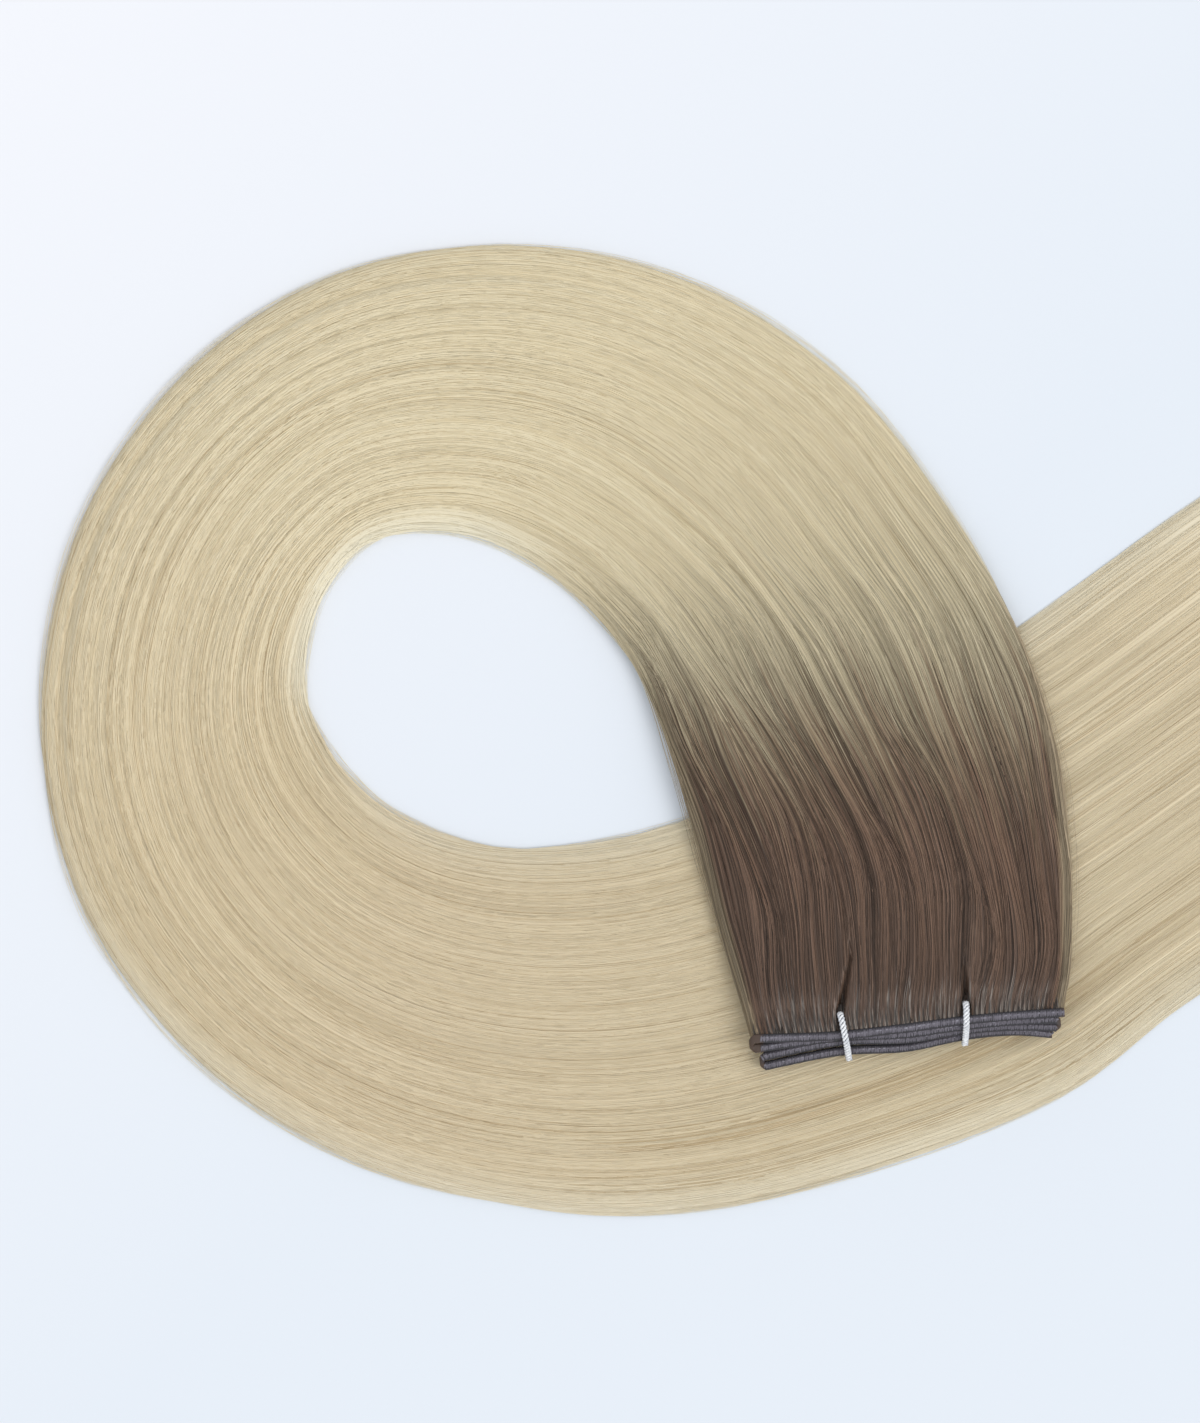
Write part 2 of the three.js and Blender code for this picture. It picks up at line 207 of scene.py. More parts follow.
def furrows(u, along):
    """Depth of the furrows between locks."""
    flattened = TAIL_FLATNESS * smoothstep(along, *TAIL_FLATTENS)
    depth = np.zeros_like(u)
    for lock in range(1, LOCK_COUNT):
        sway = LOCK_SWAY * np.sin(TURN * (SWAYS_ALONG * along + PHASE_STEP * lock))
        distance = u * LOCK_COUNT - lock - sway
        swing = np.sin(TURN * (UNEVEN_ALONG * along + UNEVEN_STEP * lock))
        uneven = FURROW_UNEVEN + FURROW_UNEVEN * swing
        if lock == LOCK_COUNT - 1:
            uneven = uneven + RIM_FURROW * within(along, FAR_SIDE)
        uneven = uneven * (1 - flattened)
        if lock == LOCK_COUNT - 2:
            uneven = uneven + TAIL_FURROW * within(along, PAST_BAND)
        depth += LOCK_GROOVE * uneven * np.exp(-((distance / FURROW_WIDTH) ** 2))
    near_root = within(along, BROWN_ENDS)
    settled = np.maximum(smoothstep(along, 0, ROOT_EASES_BY), near_root)
    return depth * settled * (1 + ROOT_FURROWS * near_root)


RIDGE_COUNT = 30
RIDGE_SEED = 3
RIDGE_HEIGHT = 0.02
RIDGES_ACROSS = (14, 70)
RIDGE_BEND = 0.25
FEWEST_BENDS = 1
MOST_BENDS = 4


def ridges(u, along):
    """Fine uneven ridges that run along the hair."""
    draw = np.random.default_rng(RIDGE_SEED)
    height = np.zeros_like(u)
    for _ in range(RIDGE_COUNT):
        across = draw.uniform(*RIDGES_ACROSS)
        bends, phase, shift = draw.uniform((FEWEST_BENDS, 0, 0), (MOST_BENDS, TURN, TURN))
        bend = RIDGE_BEND * np.sin(TURN * bends * along + phase)
        height += np.sin(TURN * across * u + TURN * bend + shift)
    return RIDGE_HEIGHT * height / math.sqrt(RIDGE_COUNT)


def band_place(points):
    """Places along the band and up from its upper edge."""
    offset = points[..., :2] - np.array(BAND_MIDDLE)
    along_band = offset[..., 0] * math.cos(BAND_TILT) + offset[..., 1] * math.sin(BAND_TILT)
    up = offset[..., 1] * math.cos(BAND_TILT) - offset[..., 0] * math.sin(BAND_TILT)
    return along_band, up


PARTING_HALF = 0.95
PARTING_FEATHER = 0.75
PARTING_DEPTH = 0.6
PARTING_BEND = 0.35  # how much of its lean a parting keeps past its gap


def partings(points):
    """How deep the gap is that a thread makes in the hair, as a share of the hair's thickness."""
    along_band, up = band_place(points)
    depth = np.zeros(points.shape[:-1])
    for tie in TIES:
        rise = np.clip((up - tie.reach) / (tie.parting_y - tie.reach), 0, tie.fade)
        leaning = np.minimum(rise, 1) + PARTING_BEND * np.maximum(rise - 1, 0)
        middle = tie.at + (tie.parting_x - tie.at) * leaning
        half = PARTING_HALF * (1 - rise / tie.fade)
        inside = np.clip((half - np.abs(along_band - middle)) / PARTING_FEATHER, 0, 1)
        depth = np.maximum(depth, PARTING_DEPTH * inside * np.sqrt(1 - rise / tie.fade))
    return depth


ROOT_END = 0.2  # share of the length that lies over the lower hair
WALL = 0.04  # share of the skin that is the rounded wall at each edge
WALL_ROUNDING = 0.02  # share of the width over which a wall rounds into the top
WALL_STARTS = math.radians(-50)  # where on its round the wall leaves the floor
ROOT_DIP = 0.6  # how far the skin comes down to where the hair leaves the top layer
ROOT_DIP_BY = 0.02
ROOT_TUCK = 0.8  # how far the outer edge is drawn in to the band's end
ROOT_TUCK_BY = 0.03
LEAST_RISE = 0.05


def skin(across, along, sink=0.0):
    """The hair's outer skin: across runs from the inner foot over the top to the outer foot."""
    inner, outer = flow_edges(along)
    width = np.linalg.norm(outer - inner, axis=-1)
    climb = np.clip(np.minimum(across, 1 - across) / WALL, 0, 1)
    turn = WALL_STARTS + (math.pi / 2 - WALL_STARTS) * climb
    wall = (np.sin(turn) - math.sin(WALL_STARTS)) / (1 - math.sin(WALL_STARTS))
    middle = np.clip((across - WALL) / (1 - 2 * WALL), 0, 1)
    side = np.where(across < 0.5, 1, -1)
    rounded = WALL_ROUNDING * (1 - np.cos(turn)) * side
    u = WALL_ROUNDING + (1 - 2 * WALL_ROUNDING) * middle
    u = np.where(climb < 1, np.where(side > 0, 0, 1) + rounded, u)
    tuck = ROOT_TUCK * (1 - smoothstep(along, 0, ROOT_TUCK_BY))
    points = inner + (outer - inner) * (u + (sink * side - tuck * u) / width)[..., None]
    settled = smoothstep(along, 0, ROOT_EASES_BY)
    edge = ROOT_EDGE_SHARE + (EDGE_SHARE - ROOT_EDGE_SHARE) * settled
    dome = edge + (1 - edge) * (1 - np.abs(2 * u - 1) ** DOME_POWER)
    rise = thickness_at(along, width) * dome - furrows(u, along) + ridges(u, along)
    rise = rise * (1 - partings(points) * (along < ROOT_END))
    rise = rise - ROOT_DIP * (1 - smoothstep(along, 0, ROOT_DIP_BY))
    points[..., 2] = np.maximum(points[..., 2], 0) + np.maximum(rise - sink, LEAST_RISE) * wall
    return points


# Place of the flow in the frame, from the solid's lowest corner

OUTLINE_COLUMNS = 80
OUTLINE_ROWS = 300


def frame_shift():
    across = np.linspace(0, 1, OUTLINE_COLUMNS)
    outline = skin(*np.meshgrid(across, np.linspace(0, TIP_START, OUTLINE_ROWS)))
    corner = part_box("hair")[0]
    return np.array([corner.x / MM - outline[..., 0].min(), corner.y / MM - outline[..., 1].min(), 0])


SHIFT = frame_shift()


def to_frame(points):
    return (np.asarray(points) + SHIFT) * MM


# Mesh helpers

def mesh_object(name, points, faces):
    mesh = bpy.data.meshes.new(name)
    mesh.from_pydata(np.asarray(points).reshape(-1, 3).tolist(), [], faces)
    mesh.update()
    made = bpy.data.objects.new(name, mesh)
    SCENE.collection.objects.link(made)
    return made


def grid_faces(rows, columns):
    faces = []
    for row in range(rows - 1):
        for column in range(columns - 1):
            corner = row * columns + column
            faces.append((corner, corner + 1, corner + columns + 1, corner + columns))
    return faces


def tube_faces(rows, columns):
    """Faces of a closed tube: its side, the seam along it, and both ends."""
    faces = grid_faces(rows, columns)
    for row in range(rows - 1):
        first = row * columns
        last = first + columns - 1
        faces.append((last, first, first + columns, last + columns))
    faces.append(tuple(range(columns - 1, -1, -1)))
    faces.append(tuple(range((rows - 1) * columns, rows * columns)))
    return faces


def store_flow(made, across, along):
    """The flow as a UV map."""
    flow = np.stack([across, along], axis=-1).reshape(-1, 2)
    layer = made.data.uv_layers.new(name="flow")
    for loop in made.data.loops:
        layer.data[loop.index].uv = flow[loop.vertex_index]


def sheet_object(name, points, across, along):
    """An open sheet with its flow, for strands or stitches to follow."""
    sheet = mesh_object(name, to_frame(points), grid_faces(*points.shape[:2]))
    store_flow(sheet, across, along)
    return sheet


def store(made, name, values):
    attribute = made.data.attributes.new(name, "FLOAT", "POINT")
    attribute.data.foreach_set("value", np.asarray(values, np.float32).ravel())


def finish_piece(made, slot, *nodes):
    made.data.polygons.foreach_set("use_smooth", [True] * len(made.data.polygons))
    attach(made, "root")
    if nodes:
        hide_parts(*nodes)


# Node helpers

class Nodes:
    """A graph of nodes, written as nested calls."""

    def __init__(self, graph):
        self.graph = graph

    def feed(self, socket, value):
        if isinstance(value, bpy.types.NodeSocket):
            self.graph.links.new(value, socket)
        else:
            socket.default_value = value

    def node(self, kind, inputs=None, **settings):
        made = self.graph.nodes.new(kind)
        for key, value in settings.items():
            setattr(made, key, value)
        for key, value in (inputs or {}).items():
            self.feed(made.inputs[key], value)
        return made

    def out(self, kind, inputs=None, **settings):
        """The first output of a new node."""
        return self.node(kind, inputs, **settings).outputs[0]

    def math(self, operation, *values):
        return self.out("ShaderNodeMath", dict(enumerate(values)), operation=operation)

    def product(self, first, *others):
        for other in others:
            first = self.math("MULTIPLY", first, other)
        return first

    def rest(self, value):
        """What is left of 1."""
        return self.math("SUBTRACT", 1.0, value)

    def vector(self, x, y, z=0.0):
        return self.out("ShaderNodeCombineXYZ", {0: x, 1: y, 2: z})

    def axes(self, vector):
        return self.node("ShaderNodeSeparateXYZ", {0: vector}).outputs

    def noise(self, first, second, waves, detail):
        """Smooth noise about 0.5, with a number of waves along each of two measures."""
        place = self.vector(self.product(first, waves[0]), self.product(second, waves[1]))
        inputs = {"Vector": place, "Scale": 1.0, "Detail": detail}
        return self.out("ShaderNodeTexNoise", inputs, noise_dimensions="2D")


class Tree(Nodes):
    """A graph that makes geometry, with named inputs."""

    def __init__(self, name, counts, measures):
        super().__init__(bpy.data.node_groups.new(name, "GeometryNodeTree"))
        kinds = {"Geometry": "Geometry", "Material": "Material"}
        kinds.update(dict.fromkeys(counts, "Int"))
        kinds.update(dict.fromkeys(measures, "Float"))
        sockets = self.graph.interface
        for label, kind in kinds.items():
            sockets.new_socket(label, in_out="INPUT", socket_type="NodeSocket" + kind)
        sockets.new_socket("Geometry", in_out="OUTPUT", socket_type="NodeSocketGeometry")
        self.given = self.graph.nodes.new("NodeGroupInput").outputs
        self.index = self.out("GeometryNodeInputIndex")

    def whole(self, operation, *values):
        return self.out("FunctionNodeIntegerMath", dict(enumerate(values)), operation=operation)

    def add(self, first, second):
        return self.out("ShaderNodeVectorMath", {0: first, 1: second}, operation="ADD")

    def scale(self, vector, factor):
        return self.out("ShaderNodeVectorMath", {0: vector, 3: factor}, operation="SCALE")

    def mix(self, factor, low, high):
        return self.out("ShaderNodeMix", {0: factor, 2: low, 3: high})

    def ease(self, value, low, high):
        inputs = {0: value, 1: low, 2: high}
        return self.out("ShaderNodeMapRange", inputs, interpolation_type="SMOOTHSTEP")

    def within(self, value, stretch):
        """1 inside a stretch of the length, eased to 0 at both ends."""
        entered = self.ease(value, stretch.begins, stretch.full)
        return self.math("SUBTRACT", entered, self.ease(value, stretch.leaves, stretch.ends))

    def chance(self, low, high, which, draw):
        """A number of each element's own; every draw of a tree has a different number."""
        seed = self.whole("ADD", self.given["Seed"], draw)
        inputs = {2: low, 3: high, 7: which, 8: seed}
        return self.node("FunctionNodeRandomValue", inputs, data_type="FLOAT").outputs[1]

    def waver(self, along, across, waves):
        """Smooth noise about 0."""
        return self.math("SUBTRACT", self.noise(along, across, waves, 1.0), 0.5)

    def on_surface(self, value, across, along):
        """A value of the given sheet at a place of its flow."""
        flow = self.out("GeometryNodeInputNamedAttribute", {0: "flow"}, data_type="FLOAT_VECTOR")
        inputs = {0: self.given["Geometry"], 1: value, 2: flow, 3: self.vector(across, along)}
        return self.out("GeometryNodeSampleUVSurface", inputs, data_type="FLOAT_VECTOR")

    def seat(self, across, along):
        """Point and outward direction of the given sheet at a place of its flow."""
        point = self.out("GeometryNodeInputPosition")
        normal = self.out("GeometryNodeInputNormal")
        return self.on_surface(point, across, along), self.on_surface(normal, across, along)

    def keep(self, geometry, name, value):
        inputs = {0: geometry, 2: name, 3: value}
        return self.out("GeometryNodeStoreNamedAttribute", inputs, data_type="FLOAT")

    def read(self, name):
        return self.out("GeometryNodeInputNamedAttribute", {0: name}, data_type="FLOAT")

    def tubes(self, curves, sides, radius):
        """Closed tubes round curves."""
        profile = self.out("GeometryNodeCurvePrimitiveCircle", {0: sides, 4: 1.0})
        inputs = {0: curves, 1: profile, 2: radius, 3: True}
        return self.out("GeometryNodeCurveToMesh", inputs)

    def finish(self, geometry):
        whole = self.out("GeometryNodeRealizeInstances", {0: geometry})
        dressed = self.out("GeometryNodeSetMaterial", {0: whole, 2: self.given["Material"]})
        self.node("NodeGroupOutput", {0: dressed})
        return self.graph


def grow(name, group, base, values):
    """What the tree makes from base, as a plain mesh."""
    holder = bpy.data.objects.new(name, base.data)
    SCENE.collection.objects.link(holder)
    modifier = holder.modifiers.new("growth", "NODES")
    modifier.node_group = group
    for item in group.interface.items_tree:
        if item.in_out == "INPUT" and item.name in values:
            modifier[item.identifier] = values[item.name]
    graph = bpy.context.evaluated_depsgraph_get()
    evaluated = holder.evaluated_get(graph)
    mesh = bpy.data.meshes.new_from_object(evaluated, preserve_all_data_layers=True, depsgraph=graph)
    bpy.data.objects.remove(holder)
    mesh.name = name
    made = bpy.data.objects.new(name, mesh)
    SCENE.collection.objects.link(made)
    return made


# Strands: each follows the flow of a sheet, starts and ends under its neighbours, and tapers

GOLDEN = 0.6180339887
SEED_STEP = 0.37
LAST_TIP = 0.999  # share of the length that no strand goes past
STRAND_SIDES = 3
STRAND_WIDTHS = (0.65, 1.35)
END_WIDTH = 0.4  # width of a strand's buried end
BURY_SHARE = 0.14  # share of a strand's length in which it comes up from under its neighbours
LEAST_HEIGHT = 0.1  # of a strand's middle over the table
EDGE_MARGIN = 0.015
STAND = 0.46  # how strongly the hair first stands up from the band, in its inner half most
SWEEP = 0.38  # how strongly it sweeps inwards from there
COMB_HOLD = 0.95  # how closely the hair keeps to the stitches at the band
TIP_LOCKS = 26
TIP_GATHER = 0.8  # how closely the tips keep to their locks
TIPS_GATHER_FROM = 0.945

# Colours of the strands
LOCK_TONE = 0.7  # how much a lock is lighter or darker than the next
LOCK_DYE = 1.6
OWN_DYE = 0.7
DYE_SPREAD = 0.028  # how far up or down a strand's own colours may lie
RIM_WIDTH = 0.085  # share of the skin at each side whose thin hair is drawn tan down to the band, painted light shining through it
RIM_FULL = 0.04
RIM_LIGHT_PLACE = 0.135  # share of the length whose colour the painted rim light takes
PALE_WIDTH = 0.13  # share of the skin drawn paler as painted light, at the loop's inner edge and at the tail's edges
PALE_FULL = 0.02
LOOP_PALE = 0.62
TAIL_PALE = 0.3
TAIL_RISES = (0.45, 0.6)

# Waves of noise: how many along the hair's length, and across its width or from strand to strand
Waves = namedtuple("Waves", "along across")
DRIFT_WAVES = Waves(5, 18)
WANDER_WAVES = Waves(9, 3.71)
SWAY_WAVES = Waves(13, 8)
TONE_WAVES = Waves(4, 34)
DYE_WAVES = Waves(2, 22)
STRAY_WAVES = Waves(6, 1)

# Numbers of a strand's random draws
START_DRAW, LENGTH_DRAW, TIP_DRAW, LIFT_DRAW, WIDTH_DRAW, SHADE_DRAW, DYE_DRAW = range(1, 8)

STRAND_COUNTS = ("Strands", "Steps", "Seed")
STRAND_MEASURES = (
    "First Start", "Last Start", "Shortest", "Longest", "Shortest Tip", "Radius", "Low Lift", "High Lift",
    "Start Sink", "End Sink", "Wander", "Drift", "Root Sway", "Comb Count", "Comb Until", "Tips From",
    "Inner Side", "Outer Side", "Sweep", "Colour Length", "Rim Light Place", "Painted Edge Light", "Stray", "Edge Pull",
    "Darkest", "Lightest",
)


def strand_across(tree, strand, along):
    """A strand's own line of the flow, and its place across the flow."""
    given = tree.given
    shuffled = tree.math("ADD", strand, tree.product(given["Seed"], SEED_STEP))
    own = tree.math("FRACT", tree.product(shuffled, GOLDEN))
    own = tree.mix(given["Edge Pull"], own, tree.math("ROUND", own))
    own = tree.mix(own, given["Inner Side"], given["Outer Side"])

    # Drift with neighbours, wander alone, and sway near the band
    drift = tree.product(tree.waver(along, own, DRIFT_WAVES), given["Drift"])
    wander = tree.product(tree.waver(along, strand, WANDER_WAVES), given["Wander"])
    sway = tree.product(tree.waver(along, own, SWAY_WAVES), tree.within(along, SWAYING), given["Root Sway"])
    across = own
    for shift in (drift, wander, sway):
        across = tree.math("ADD", across, shift)

    # The whole hair stands up from the band, then sweeps inwards
    inner_half = tree.rest(own)
    upright = tree.product(tree.within(along, STANDING), inner_half, STAND)
    inwards = tree.math("SUBTRACT", tree.product(tree.within(along, SWEEPING), SWEEP), upright)
    inwards = tree.product(inwards, tree.product(own, inner_half), given["Sweep"])
    across = tree.math("SUBTRACT", across, inwards)

    # Comb at the band, locks at the tips
    tooth = tree.math("ROUND", tree.product(across, given["Comb Count"]))
    combed = tree.product(tree.rest(tree.ease(along, 0.0, given["Comb Until"])), COMB_HOLD)
    across = tree.mix(combed, across, tree.math("DIVIDE", tooth, given["Comb Count"]))
    lock = tree.math("ADD", tree.math("FLOOR", tree.product(across, TIP_LOCKS)), 0.5)
    gathered = tree.product(tree.ease(along, given["Tips From"], 1.0), TIP_GATHER)
    across = tree.mix(gathered, across, tree.math("DIVIDE", lock, TIP_LOCKS))
    limits = {1: EDGE_MARGIN, 2: 1 - EDGE_MARGIN}
    return own, tree.out("ShaderNodeClamp", {0: across, **limits})


def strand_colour(tree, strand, own, across, along):
    """Lightness and dye, partly a strand's own and partly its lock's, with painted light at the rims and the
    edges.
    """
    given = tree.given
    own_shade = tree.chance(given["Darkest"], given["Lightest"], strand, SHADE_DRAW)
    shade = tree.math("MULTIPLY_ADD", tree.waver(along, own, TONE_WAVES), LOCK_TONE, own_shade)
    own_dye = tree.chance(-OWN_DYE, OWN_DYE, strand, DYE_DRAW)
    dye = tree.math("MULTIPLY_ADD", tree.waver(along, own, DYE_WAVES), LOCK_DYE, own_dye)
    from_middle = tree.math("ABSOLUTE", tree.math("SUBTRACT", across, 0.5))
    # Painted light: thin hair at the rims is drawn tan, as lit through, by raising its dye
    rim_light = tree.product(tree.ease(from_middle, 0.5 - RIM_WIDTH, 0.5 - RIM_FULL), given["Rim Light Place"])
    rim_light_dye = tree.math("DIVIDE", tree.math("SUBTRACT", rim_light, along), DYE_SPREAD)
    inner = tree.rest(tree.ease(across, PALE_FULL, PALE_WIDTH))
    loop_pale = tree.product(tree.within(along, LOOP_EYE), inner, LOOP_PALE)
    sides = tree.ease(from_middle, 0.5 - PALE_WIDTH, 0.5 - PALE_FULL)
    tail_pale = tree.product(tree.ease(along, *TAIL_RISES), sides, TAIL_PALE)
    edge_light = tree.product(tree.math("MAXIMUM", loop_pale, tail_pale), given["Painted Edge Light"])
    # The dye attribute also carries the painted rim light
    return {"shade": shade, "dye": tree.math("MAXIMUM", dye, rim_light_dye), "edge_light": edge_light}


def strand_tree():
    tree = Tree("strands", STRAND_COUNTS, STRAND_MEASURES)
    given = tree.given
    strand = tree.whole("DIVIDE_FLOOR", tree.index, given["Steps"])
    step = tree.whole("MODULO", tree.index, given["Steps"])
    share = tree.math("DIVIDE", step, tree.math("SUBTRACT", given["Steps"], 1.0))

    # Place in the flow
    start = tree.chance(given["First Start"], given["Last Start"], strand, START_DRAW)
    length = tree.chance(given["Shortest"], given["Longest"], strand, LENGTH_DRAW)
    tip = tree.chance(given["Shortest Tip"], LAST_TIP, strand, TIP_DRAW)
    end = tree.math("MINIMUM", tree.math("ADD", start, length), tip)
    along = tree.mix(share, start, end)
    own, across = strand_across(tree, strand, along)

    # Height over the sheet
    rising = tree.ease(share, 0.0, BURY_SHARE)
    falling = tree.ease(tree.rest(share), 0.0, BURY_SHARE)
    start_sink = tree.product(given["Start Sink"], tree.rest(rising))
    end_sink = tree.product(given["End Sink"], tree.rest(falling))
    lift = tree.chance(given["Low Lift"], given["High Lift"], strand, LIFT_DRAW)
    lift = tree.math("SUBTRACT", lift, tree.math("ADD", start_sink, end_sink))
    astray = tree.product(tree.waver(along, strand, STRAY_WAVES), given["Stray"])
    lift = tree.math("ADD", lift, tree.math("ABSOLUTE", astray))

    # Points on the sheet, joined to curves
    place, outward = tree.seat(across, along)
    x, y, z = tree.axes(tree.add(place, tree.scale(outward, lift)))
    seat = tree.vector(x, y, tree.math("MAXIMUM", z, LEAST_HEIGHT * MM))
    count = tree.whole("MULTIPLY", given["Strands"], given["Steps"])
    points = tree.out("GeometryNodePoints", {0: count})
    points = tree.out("GeometryNodeSetPosition", {0: points, 2: seat})
    taper = tree.mix(tree.math("MINIMUM", rising, falling), END_WIDTH, 1.0)
    width = tree.product(taper, tree.chance(*STRAND_WIDTHS, strand, WIDTH_DRAW))
    points = tree.keep(points, "girth", tree.product(width, given["Radius"]))
    points = tree.keep(points, "along", tree.product(along, given["Colour Length"]))
    for name, value in strand_colour(tree, strand, own, across, along).items():
        points = tree.keep(points, name, value)
    curves = tree.out("GeometryNodePointsToCurves", {0: points, 1: strand, 2: share})
    tubes = tree.tubes(curves, STRAND_SIDES, tree.read("girth"))
    tubes = tree.out("GeometryNodeRemoveAttribute", {0: tubes, 1: "girth"})
    return tree.finish(tubes)


# Materials

def srgb(red, green, blue):
    """A colour as the eye reads it, from 0 to 255, as light."""
    light = [c / 255 for c in (red, green, blue)]
    return tuple(c / 12.92 if c <= 0.04045 else ((c + 0.055) / 1.055) ** 2.4 for c in light) + (1.0,)


def grey(level):
    return (level, level, level, 1)


class Finish(Nodes):
    """A material and its nodes."""

    def __init__(self, name):
        self.material = bpy.data.materials.new(name)
        self.material.use_nodes = True
        super().__init__(self.material.node_tree)
        self.shader = self.graph.nodes["Principled BSDF"]

    def attribute(self, name):
        return self.node("ShaderNodeAttribute", attribute_name=name).outputs["Fac"]

    def streak(self, across, along, streak):
        """Noise drawn out along the hair, about 0."""
        noise = self.noise(across, along, streak[:2], 2.0)
        return self.math("MULTIPLY_ADD", noise, streak.strength, -streak.strength / 2)

    def ramp(self, value, stops):
        made = self.node("ShaderNodeValToRGB", {0: value})
        elements = made.color_ramp.elements
        while len(elements) < len(stops):
            elements.new(1.0)
        for element, (place, colour) in zip(elements, stops):
            element.position = place
            element.color = colour
        return made.outputs["Color"]

    def levels(self, value, stops):
        return self.ramp(value, [(place, grey(level)) for place, level in stops])

    def within(self, value, stretch, level):
        """A level inside a stretch of the length, 0 outside."""
        return self.levels(value, zip(stretch, (0.0, level, level, 0.0)))

    def blend(self, kind, factor, first, second):
        inputs = {0: factor, 6: first, 7: second}
        return self.node("ShaderNodeMix", inputs, data_type="RGBA", blend_type=kind).outputs[2]

    def set(self, **values):
        for name, value in values.items():
            self.feed(self.shader.inputs[name.replace("_", " ")], value)
        return self.material


# Colours of the hair's lightest strands at shares of its length, from the band
ROOTED = [
    # The first two stops, lighter and greyer at the band, are a painted highlight on the combed tufts there
    (0.000, srgb(162, 150, 141)),
    (0.004, srgb(155, 141, 131)),
    (0.008, srgb(132, 108, 95)),
    (0.013, srgb(124, 100, 85)),
    (0.030, srgb(132, 105, 88)),
    (0.090, srgb(146, 116, 96)),
    (0.125, srgb(172, 149, 122)),
    (0.155, srgb(213, 199, 168)),
    (0.190, srgb(236, 222, 189)),
    (0.280, srgb(243, 230, 198)),
    (0.400, srgb(240, 227, 196)),
    (0.520, srgb(233, 217, 184)),
    (0.650, srgb(234, 218, 187)),
    (0.780, srgb(238, 223, 191)),
    (0.930, srgb(239, 224, 193)),
    # The last stop, lighter at the tips, is partly their own paler ends and partly painted light over the
    # shade among the thinning tips
    (1.000, srgb(250, 238, 212)),
]
# Painted light: the pale colour that thin hair at the edges is drawn towards, as if lit through
PALE_EDGE_LIGHT = srgb(255, 251, 234)
BROWN_TONES = [
    (0.10, grey(0.17)),
    (0.38, grey(0.36)),
    (0.55, grey(0.54)),
    (0.75, grey(0.85)),
    (0.90, grey(1.0)),
]
BLOND_TONES = [
    (0.00, (0.74, 0.66, 0.55, 1)),
    (0.08, (0.87, 0.84, 0.78, 1)),
    (0.25, (0.96, 0.95, 0.93, 1)),
    (1.00, grey(1.0)),
]
BLOND_OVER = (0.11, 0.22)  # shares of the length over which the blond's tones take over
SHEEN = {"Roughness": 0.45, "Specular_IOR_Level": 0.35}


def rooted_colour(finish, along, shade, dye, edge_light):
    # dye also carries the painted rim light
    place = finish.math("MULTIPLY_ADD", dye, DYE_SPREAD, along)
    colour = finish.blend("MIX", edge_light, finish.ramp(place, ROOTED), PALE_EDGE_LIGHT)
    faded = finish.levels(place, zip(BLOND_OVER, (0.0, 1.0)))
    tone = finish.blend("MIX", faded, finish.ramp(shade, BROWN_TONES), finish.ramp(shade, BLOND_TONES))
    return finish.blend("MULTIPLY", 1.0, colour, tone)


def strand_finish():
    finish = Finish("rooted_blond_strands")
    colour = rooted_colour(finish, *(finish.attribute(name) for name in ("along", "shade", "dye", "edge_light")))
    return finish.set(Base_Color=colour, **SHEEN)


# Streaks of the hair's body: how many across its width and along its length, and how strong
Streak = namedtuple("Streak", "across along strength")
STREAKS = [Streak(280, 5.0, 1.1), Streak(130, 5.0, 0.8), Streak(24, 2.5, 0.3)]
DYE_STREAK = Streak(75, 2.0, 4.0)
BEND_STREAK = Streak(5, 7.0, 0.07)
BEND_AFTER_ROOT = 0.4  # how much of the bends is left in the blond hair
BUMP_STREAK = Streak(330, 6.0, 0.6)
CORE_PAINTED_SHADE = (0.93, 0.925, 0.915, 1)  # painted shade: a strand's colour darkened on the body between the strands, as if shaded by them
STITCHED_BY = 0.012  # share of the length that shows the stitches' pitch
TUFT_PAINTED_SHADING = 1.4  # how strongly it shows there, as painted shade in the gaps between the combed tufts and painted highlight on their tops
BEND_STOPS = [(0.0, 0.0), (0.03, 1.0), (0.16, 1.0), (0.3, BEND_AFTER_ROOT)]  # strength along the hair
BUMP_DEPTH = 0.1


